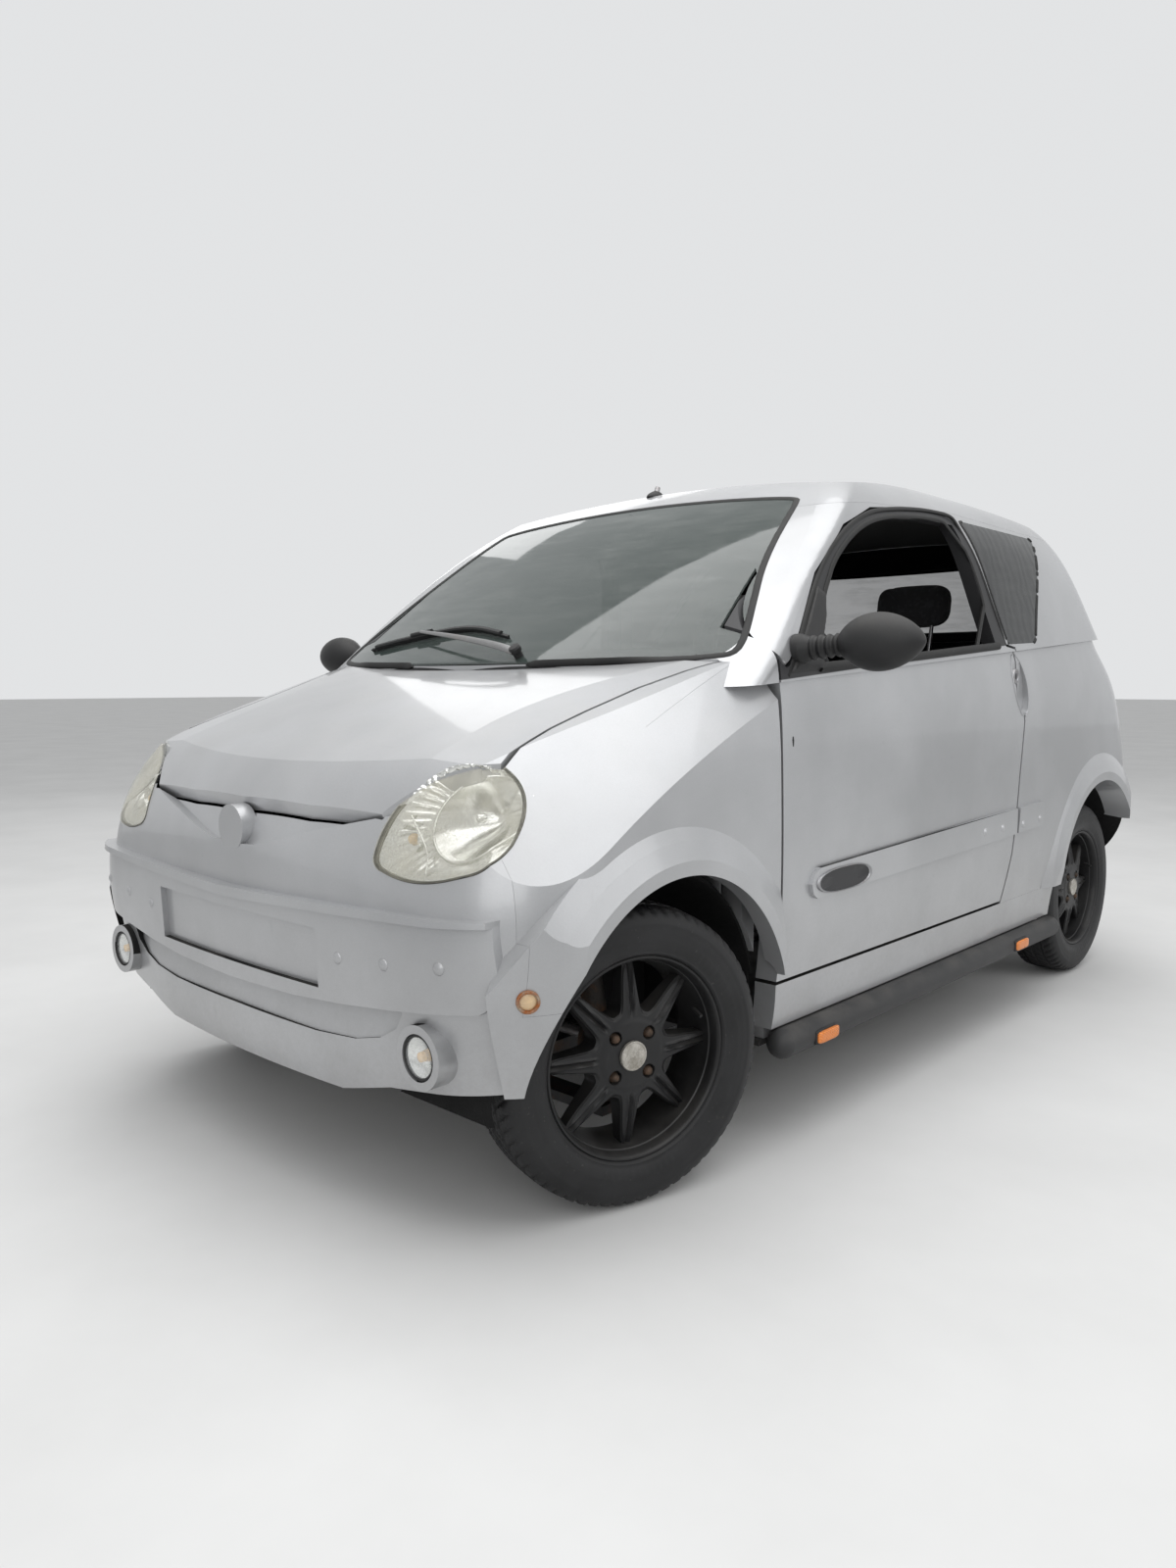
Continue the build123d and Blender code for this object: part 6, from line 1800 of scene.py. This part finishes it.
def apply_modifiers(obj: bpy.types.Object) -> None:
    """Puts what an object's modifiers make into its mesh and takes them off."""
    bpy.context.view_layer.update()
    seen = obj.evaluated_get(bpy.context.evaluated_depsgraph_get())
    mesh = bpy.data.meshes.new_from_object(seen)
    materials = list(obj.data.materials)
    obj.modifiers.clear()
    obj.data = mesh
    if not mesh.materials:
        for material in materials:
            mesh.materials.append(material)


def mesh_points(mesh: bpy.types.Mesh) -> Array:
    """A mesh's points as rows of three."""
    points = np.zeros(len(mesh.vertices) * 3)
    mesh.vertices.foreach_get("co", points)
    return points.reshape(-1, 3)


@dataclass
class Pad:
    """One stuffed part of a seat: its frame, its half sizes, its crown and bolsters, and its sewn channels."""

    name: str
    centre: tuple[float, float, float]
    lean: float
    half: tuple[float, float, float]
    bolster: float
    power: float = 5.0
    channels: tuple[float, ...] = ()
    seam: float = 0.0
    voxel: float = 0.0075
    cap: float = 0.024

    def axes(self) -> tuple[Array, Array, Array]:
        """Across the car, along the pad, and out of its face. Lean turns the last two about X."""
        along = np.array([0.0, math.cos(self.lean), math.sin(self.lean)])
        return np.array([1.0, 0.0, 0.0]), along, np.array([0.0, -math.sin(self.lean), math.cos(self.lean)])

    def shape(self) -> Surface:
        """A soft block whose face rises as a bolster towards both sides and dips in the middle."""
        surface = Surface()
        surface.pillow((0, 0, 0), self.half, power=self.power, count=96)
        local = surface.points[0]
        side = smooth(np.abs(local[:, 0]) / self.half[0], 0.52, 0.82)
        face = smooth(local[:, 2] / self.half[2], -0.2, 0.6)
        local[:, 2] += face * (self.bolster * side - 0.006 * (1 - side))
        surface.points[0] = np.asarray(self.centre) + local @ np.stack(self.axes())
        return surface

    def carve(self, mesh: bpy.types.Mesh) -> None:
        """Presses the sewn channels and the seam beside the bolsters into the face, as narrow dips."""
        points = mesh_points(mesh)
        axes = np.stack(self.axes())
        local = (points - np.asarray(self.centre)) @ axes.T
        face = smooth(local[:, 2] / self.half[2], 0.0, 0.5)
        dip = np.zeros(len(local))
        inner = self.half[0] * 0.60
        if self.seam:
            dip += self.seam * np.exp(-(((np.abs(local[:, 0]) - inner) / 0.0045) ** 2))
        for place in self.channels:
            line = np.exp(-(((local[:, 1] - place * self.half[1]) / 0.0050) ** 2))
            dip += 0.006 * line * (1 - smooth(np.abs(local[:, 0]), inner - 0.006, inner))
        local[:, 2] -= dip * face
        around = np.exp(-((local[:, 2] / 0.0038) ** 2)) * 0.0030
        flat = local[:, :2] / np.asarray(self.half[:2])
        local[:, :2] -= around[:, None] * flat
        mesh.vertices.foreach_set("co", (np.asarray(self.centre) + local @ axes).ravel())
        mesh.update()


@dataclass
class Seats:
    """Two seats: stuffed cushion, back and headrest, on a black pedestal with rails and a recliner."""

    place: float = 0.325
    pads: tuple[Pad, ...] = (
        Pad("cushion", (0.325, 0.168, 0.436), 0.035, (0.208, 0.222, 0.036), 0.020,
        channels=(-0.45, 0.0, 0.45), seam=0.007),
        Pad("backrest", (0.325, 0.482, 0.735), 1.385, (0.205, 0.268, 0.036), 0.022,
        channels=(-0.5, -0.1, 0.3), seam=0.007),
        Pad("headrest", (0.325, 0.553, 1.136), 1.45, (0.112, 0.064, 0.027), 0.004, power=3.6, voxel=0.0065,
        cap=0.012),
    )

    def build(self) -> None:
        """Makes the left seat's pads, mirrors them to the right, and adds both frames."""
        for pad in self.pads:
            self.pad(pad)
        for hand, side in (("left", 1), ("right", -1)):
            self.frame(hand, side)

    def pad(self, pad: Pad) -> None:
        """One pad on both sides: shape, air, one subdivision, and the sewn lines."""
        obj = pad.shape().piece(f"seat_{pad.name}_left", [SEAT_CLOTH], BODY, "seat_left", angle=80)
        inflated(obj, pad.voxel, 4.0, pad.cap)
        finer = obj.modifiers.new("finer", "SUBSURF")
        finer.levels = 1
        finer.render_levels = 1
        apply_modifiers(obj)
        pad.carve(obj.data)
        obj.data.shade_smooth()
        mesh = obj.data.copy()
        points = mesh_points(mesh) * np.array([-1, 1, 1])
        mesh.vertices.foreach_set("co", points.ravel())
        mesh.flip_normals()
        mesh.materials.clear()
        twin = placed(f"seat_{pad.name}_right", mesh, [SEAT_CLOTH], BODY)

    def frame(self, hand: str, side: int) -> None:
        """Pedestal, side valances, rails, recliner cover and headrest posts of one seat."""
        surface = Surface()
        x = self.place
        surface.pillow(mirrored(np.array([x, 0.165, 0.300]), side), (0.165, 0.195, 0.090), power=9, count=40)
        surface.pillow(mirrored(np.array([x, 0.165, 0.388]), side), (0.198, 0.215, 0.022), power=7, count=40)
        for across in (-0.150, 0.150):
            surface.pillow(mirrored(np.array([x + across, 0.190, 0.222]), side), (0.016, 0.240, 0.009),
                power=8, count=24, slot=1)
        for across in (-0.214, 0.214):
            centre = np.array([x + across, 0.396, 0.455])
            surface.pillow(mirrored(centre, side), (0.012, 0.055, 0.050), power=4, count=32)
        surface.pillow(mirrored(np.array([x, 0.530, 0.735]), side), (0.185, 0.016, 0.235), (
            np.array([1.0, 0, 0]), np.array([0, math.cos(0.185), -math.sin(0.185)]),
            np.array([0, math.sin(0.185), math.cos(0.185)])
        ), power=7, count=40)
        for across in (-0.060, 0.060):
            low = mirrored(np.array([x + across, 0.530, 0.985]), side)
            high = mirrored(np.array([x + across, 0.556, 1.110]), side)
            surface.tube(np.linspace(low, high, 8), 0.0055, 12, slot=1, up=(0, 1, 0))
        obj = surface.piece(f"seat_frame_{hand}", [TRIM, STEEL], BODY, f"seat_{hand}", angle=45)
        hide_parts(f"seat_{hand}")


@dataclass
class Cockpit:
    """Steering wheel with its stalks, instrument hood, vents, radio panel and the cabin mirror."""

    centre: tuple[float, float, float] = (0.33, -0.255, 0.945)
    lean: tuple[float, float, float] = (0.0, 0.9, 0.44)
    grip: float = 0.176

    def build(self) -> None:
        """Makes each part of the driver's place."""
        self.steering_wheel()
        self.dashboard()
        self.cabin_mirror()

    def steering_wheel(self) -> None:
        """The rim is a ring whose section swells at the thumbs: 0.0145 x (1 + 0.14 at both spokes)."""
        axle, side, up = square_axes(self.lean)
        centre = np.asarray(self.centre)
        turn = np.linspace(0, 2 * np.pi, 160, endpoint=False)[:, None]
        u = np.linspace(0, 2 * np.pi, 20, endpoint=False)[None]
        thumbs = np.exp(-((np.abs((turn % np.pi) - np.pi / 2) - np.pi / 2) / 0.22) ** 2)
        size = 0.0145 * (1 + 0.14 * thumbs)
        reach = self.grip + size * np.cos(u)
        out = np.cos(turn)[..., None] * side + np.sin(turn)[..., None] * up
        surface = Surface()
        ring = centre + reach[..., None] * out + (size * np.sin(u))[..., None] * axle
        surface.grid(ring, around=True, closed=True)
        hub = centre + 0.004 * axle
        surface.pillow(hub, (0.074, 0.060, 0.020), (side, up, axle), power=3.4, count=48)
        for angle in (0.0, math.pi, -math.pi / 2):
            out = math.cos(angle) * side + math.sin(angle) * up
            across = np.cross(axle, out)
            surface.pillow(centre + 0.112 * out, (0.072, 0.0165, 0.0068), (out, across, axle), power=4,
                count=32)
        obj = surface.piece("steering_wheel_rim", [LEATHER], "steering_wheel", "steering_wheel", angle=50)
        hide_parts("steering_wheel")

    def dashboard(self) -> None:
        """Instrument hood and face, round vents, radio panel, shelf edge, stalks and gear knob."""
        surface = Surface()
        surface.pillow((0.330, -0.470, 0.938), (0.150, 0.085, 0.040), power=3.2, count=48)
        surface.pillow((0.330, -0.396, 0.925), (0.112, 0.010, 0.024), power=5, count=32, slot=1)
        for x in (-0.480, -0.120, 0.120, 0.520):
            self.vent(surface, np.array([x, -0.3465, 0.842]))
        surface.pillow((0.0, -0.352, 0.772), (0.095, 0.012, 0.027), power=7, count=32, slot=1)
        for x in (-0.070, 0.070):
            surface.lathe([(-0.005, 0.0), (-0.005, 0.011), (0.014, 0.010), (0.016, 0.0)], (x, -0.345, 0.772),
                (0, 1, 0), 20)
        surface.pillow((-0.300, -0.3560, 0.745), (0.150, 0.010, 0.050), power=7, count=32)
        axle, side, up = square_axes(self.lean)
        root = np.asarray(self.centre) - 0.075 * axle
        for way in (1, -1):
            surface.tube(np.linspace(root, root + way * 0.150 * side + 0.020 * axle, 10),
                np.linspace(0.008, 0.006, 10), 12, up=axle)
        surface.tube(np.linspace((0.0, 0.060, 0.215), (0.0, 0.120, 0.400), 12), np.linspace(0.010, 0.007, 12),
            12, up=(1, 0, 0), slot=1)
        surface.pillow((0.0, 0.124, 0.418), (0.021, 0.021, 0.026), power=2.6, count=28)
        surface.piece("dashboard_fittings", [DASH, TRIM], BODY, "dashboard", angle=45)

    def vent(self, surface: Surface, centre: Array) -> None:
        """A round air vent: a ring with a dished face and a cross bar."""
        ring = [(-0.012, 0.036), (0.004, 0.036), (0.007, 0.033), (0.006, 0.029), (-0.004, 0.027),
            (-0.004, 0.0)]
        surface.lathe(ring, centre, (0, 1, 0.1), 40, slot=1)
        surface.pillow(centre, (0.027, 0.003, 0.004), power=4, count=16)

    def cabin_mirror(self) -> None:
        """The mirror under the roof: a flattened egg with its glass, on a short stalk from the windscreen."""
        surface = Surface()
        centre = np.array([-0.060, -0.235, 1.292])
        axes = square_axes((0.18, 0.98, -0.10))
        surface.pillow(centre, (0.012, 0.108, 0.032), axes, power=3.2, count=40)
        surface.pillow(centre + 0.0115 * axes[0], (0.0015, 0.101, 0.026), axes, power=3.2, count=40, slot=1)
        foot = np.array([[0.0, 1.3300]])
        point = Skin("windscreen").meet(foot, axis=1, sign=-1)[0][0] + np.array([0, 0.008, -0.004])
        line = rounded(np.stack([point, point + [-0.01, 0.035, -0.010], centre + [0, -0.014, 0.010]]), 20, 3,
            closed=False)
        surface.tube(line, np.linspace(0.011, 0.007, 20), 12)
        surface.piece("cabin_mirror", [TRIM, MIRROR], BODY, "dashboard", angle=45)


@dataclass
class Glazing:
    """Seals round the windscreen, the quarter windows and the tailgate glass."""

    screen: tuple[tuple[float, float], ...] = (
        (0.0, 0.950), (0.320, 0.953), (0.600, 0.9605), (0.632, 0.975), (0.590, 1.066), (0.538, 1.165),
        (0.488, 1.312),
        (0.470, 1.3285), (0.242, 1.3455), (0.0, 1.3520), (-0.242, 1.3455), (-0.470, 1.3285), (-0.488, 1.312),
        (-0.538, 1.165), (-0.590, 1.066), (-0.632, 0.975), (-0.600, 0.9605), (-0.320, 0.953),
    )
    quarter: tuple[tuple[float, float], ...] = ((1.414, 1.012), (1.612, 1.022), (1.820, 1.330),
        (1.322, 1.330))
    gate: tuple[tuple[float, float], ...] = ((0.440, 1.085), (0.385, 1.295), (-0.385, 1.295), (-0.440, 1.085))

    def build(self) -> None:
        """Makes the seals as ribbons laid on the glass and its frame."""
        section = [(-0.0070, -0.004), (0.0070, -0.004), (0.0075, 0.0005), (0.0040, 0.0026), (-0.0040, 0.0026),
            (-0.0075, 0.0005)]
        surface = Surface()
        line = rounded(np.asarray(self.screen), 360, 2)
        points, normals = Skin("windscreen", "cabin_frame", "roof_panel").meet(line, axis=1, sign=-1)
        surface.ribbon(points, self.even(normals), section, loop=True)
        surface.piece("windscreen_seal", [SEAL], BODY, "windscreen", angle=50)
        surface = Surface()
        thin = [(x * 0.6, z) for x, z in section]
        line = rounded(resampled(np.asarray(self.quarter), 60, True), 200, 2)
        points, normals = on_side(line, "quarter_glasses", "quarter_left")
        for side in (1, -1):
            surface.ribbon(mirrored(points, side), mirrored(self.even(normals), side), thin, loop=True)
        surface.piece("quarter_window_seals", [SEAL], BODY, "quarter_glasses", angle=50)
        surface = Surface()
        line = rounded(resampled(np.asarray(self.gate), 60, True), 240, 2)
        points, normals = Skin("tailgate", "tailgate_glass").meet(line, axis=1, sign=1)
        surface.ribbon(points, self.even(normals), section, loop=True)
        surface.piece("tailgate_window_seal", [SEAL], "tailgate", "tailgate", angle=50)

    def even(self, normals: Array) -> Array:
        """Normals along a closed line, each the mean of the eleven nearest."""
        parts = [np.convolve(np.pad(normals[:, k], 5, "wrap"), np.ones(11) / 11, "valid") for k in range(3)]
        return unit(np.stack(parts, -1))


@dataclass
class RearTrim:
    """Tail lamps, plate plinth and lamp, tailgate handle, rear wiper and roof aerial base."""

    plate: tuple[float, float] = (0.0, 0.545)
    plate_half: tuple[float, float] = (0.262, 0.058)

    def build(self) -> None:
        """Makes each fitting at the rear and on the roof."""
        body = Coachwork()
        body.dress("tail_lamps", RED)
        skin = Skin("rear_bumper")
        surface = Surface()
        wide, high = self.plate_half
        share = np.linspace(-1, 1, 9)
        spots = np.stack(np.meshgrid(self.plate[0] + wide * share, self.plate[1] + high * share),
            -1).reshape(-1, 2)
        proud = float(skin.meet(spots, axis=1, sign=1)[0][:, 1].max())
        point = np.array([self.plate[0], proud, self.plate[1]])
        surface.pillow(point - np.array([0, 0.022, 0]), (wide, 0.026, high), power=14, count=64)
        for x in (-0.09, 0.09):
            surface.pillow(point + np.array([x, 0.006, high + 0.014]), (0.030, 0.012, 0.009), power=5,
                count=24)
        surface.piece("rear_plate_plinth", [TRIM], BODY, "rear_bumper", angle=45)
        surface = Surface()
        hold = Skin("tailgate").meet(np.array([[0.0, 0.905], [0.0, 1.010]]), axis=1, sign=1)[0]
        surface.pillow(hold[0], (0.070, 0.014, 0.018), power=5, count=32)
        surface.lathe([(-0.004, 0.013), (0.006, 0.013), (0.008, 0.011), (0.008, 0)],
            hold[0] + [0, 0.006, -0.040], (0, 1, 0.3), 24, slot=1)
        base = hold[1]
        surface.lathe([(-0.01, 0.017), (0.012, 0.016), (0.020, 0.012), (0.021, 0)], base, (0, 0.8, 0.6), 28)
        glass = Skin("tailgate_glass")
        path = glass.meet(np.stack([np.linspace(-0.27, 0.02, 30), np.linspace(1.118, 1.112, 30)], -1), axis=1,
            sign=1)
        blade = [(-0.0012, 0.0), (0.0012, 0.0), (0.0045, 0.007), (0.0045, 0.011), (-0.0045, 0.011),
            (-0.0045, 0.007)]
        surface.ribbon(path[0], path[1], blade)
        arm = np.linspace(base + [0, 0.016, 0.012], path[0][15] + [0, 0.012, 0.008], 16)
        surface.tube(arm, np.linspace(0.0075, 0.0045, 16), 12, flat=0.6)
        surface.piece("tailgate_fittings", [TRIM, STEEL], "tailgate", "tailgate", angle=45)
        self.aerial()

    def aerial(self) -> None:
        """The aerial's rubber foot, whose mast is missing: a low swept mound with a threaded socket."""
        top = Skin("roof_panel").meet(np.array([[-0.045, at_station(0.845)]]), axis=2, sign=1)[0][0]
        surface = Surface()
        t = np.linspace(0, 1, 24)[:, None]
        u = np.linspace(0, 2 * np.pi, 40, endpoint=False)[None]
        reach = (1 - t ** 2.2)
        x = 0.017 * reach * np.cos(u)
        y = 0.030 * reach * np.sin(u) + 0.007 * t
        z = -0.003 + 0.021 * t + 0 * u
        surface.grid(top + np.stack([x, y, z], -1), around=True)
        axis = (0.0, 0.35, 0.94)
        socket = top + np.array([0, 0.006, 0.012])
        surface.lathe([(0, 0.0075), (0.012, 0.0070), (0.015, 0.0060), (0.015, 0.0032), (0.008, 0.0030),
            (0.008, 0)], socket, axis, 24, slot=1)
        surface.piece("aerial_foot", [TRIM, STEEL], BODY, "roof_panel", angle=40)


def main() -> None:
    """Builds the car from its sub-assemblies, in order, and reports each of them."""
    logging.basicConfig(level=logging.INFO, format="%(message)s")
    parts: list[object] = [
        Studio(), Coachwork(), Glazing(), Wheels(Tyre(), StarRim()), Headlamp(), FrontTrim(), Mirrors(),
        DoorTrim(),
        TubeMarkers(), Seats(), Cockpit(), RearTrim(),
    ]
    for part in parts:
        log.info("building %s", type(part).__name__)
        part.build()


if __name__ == "__main__":
    main()
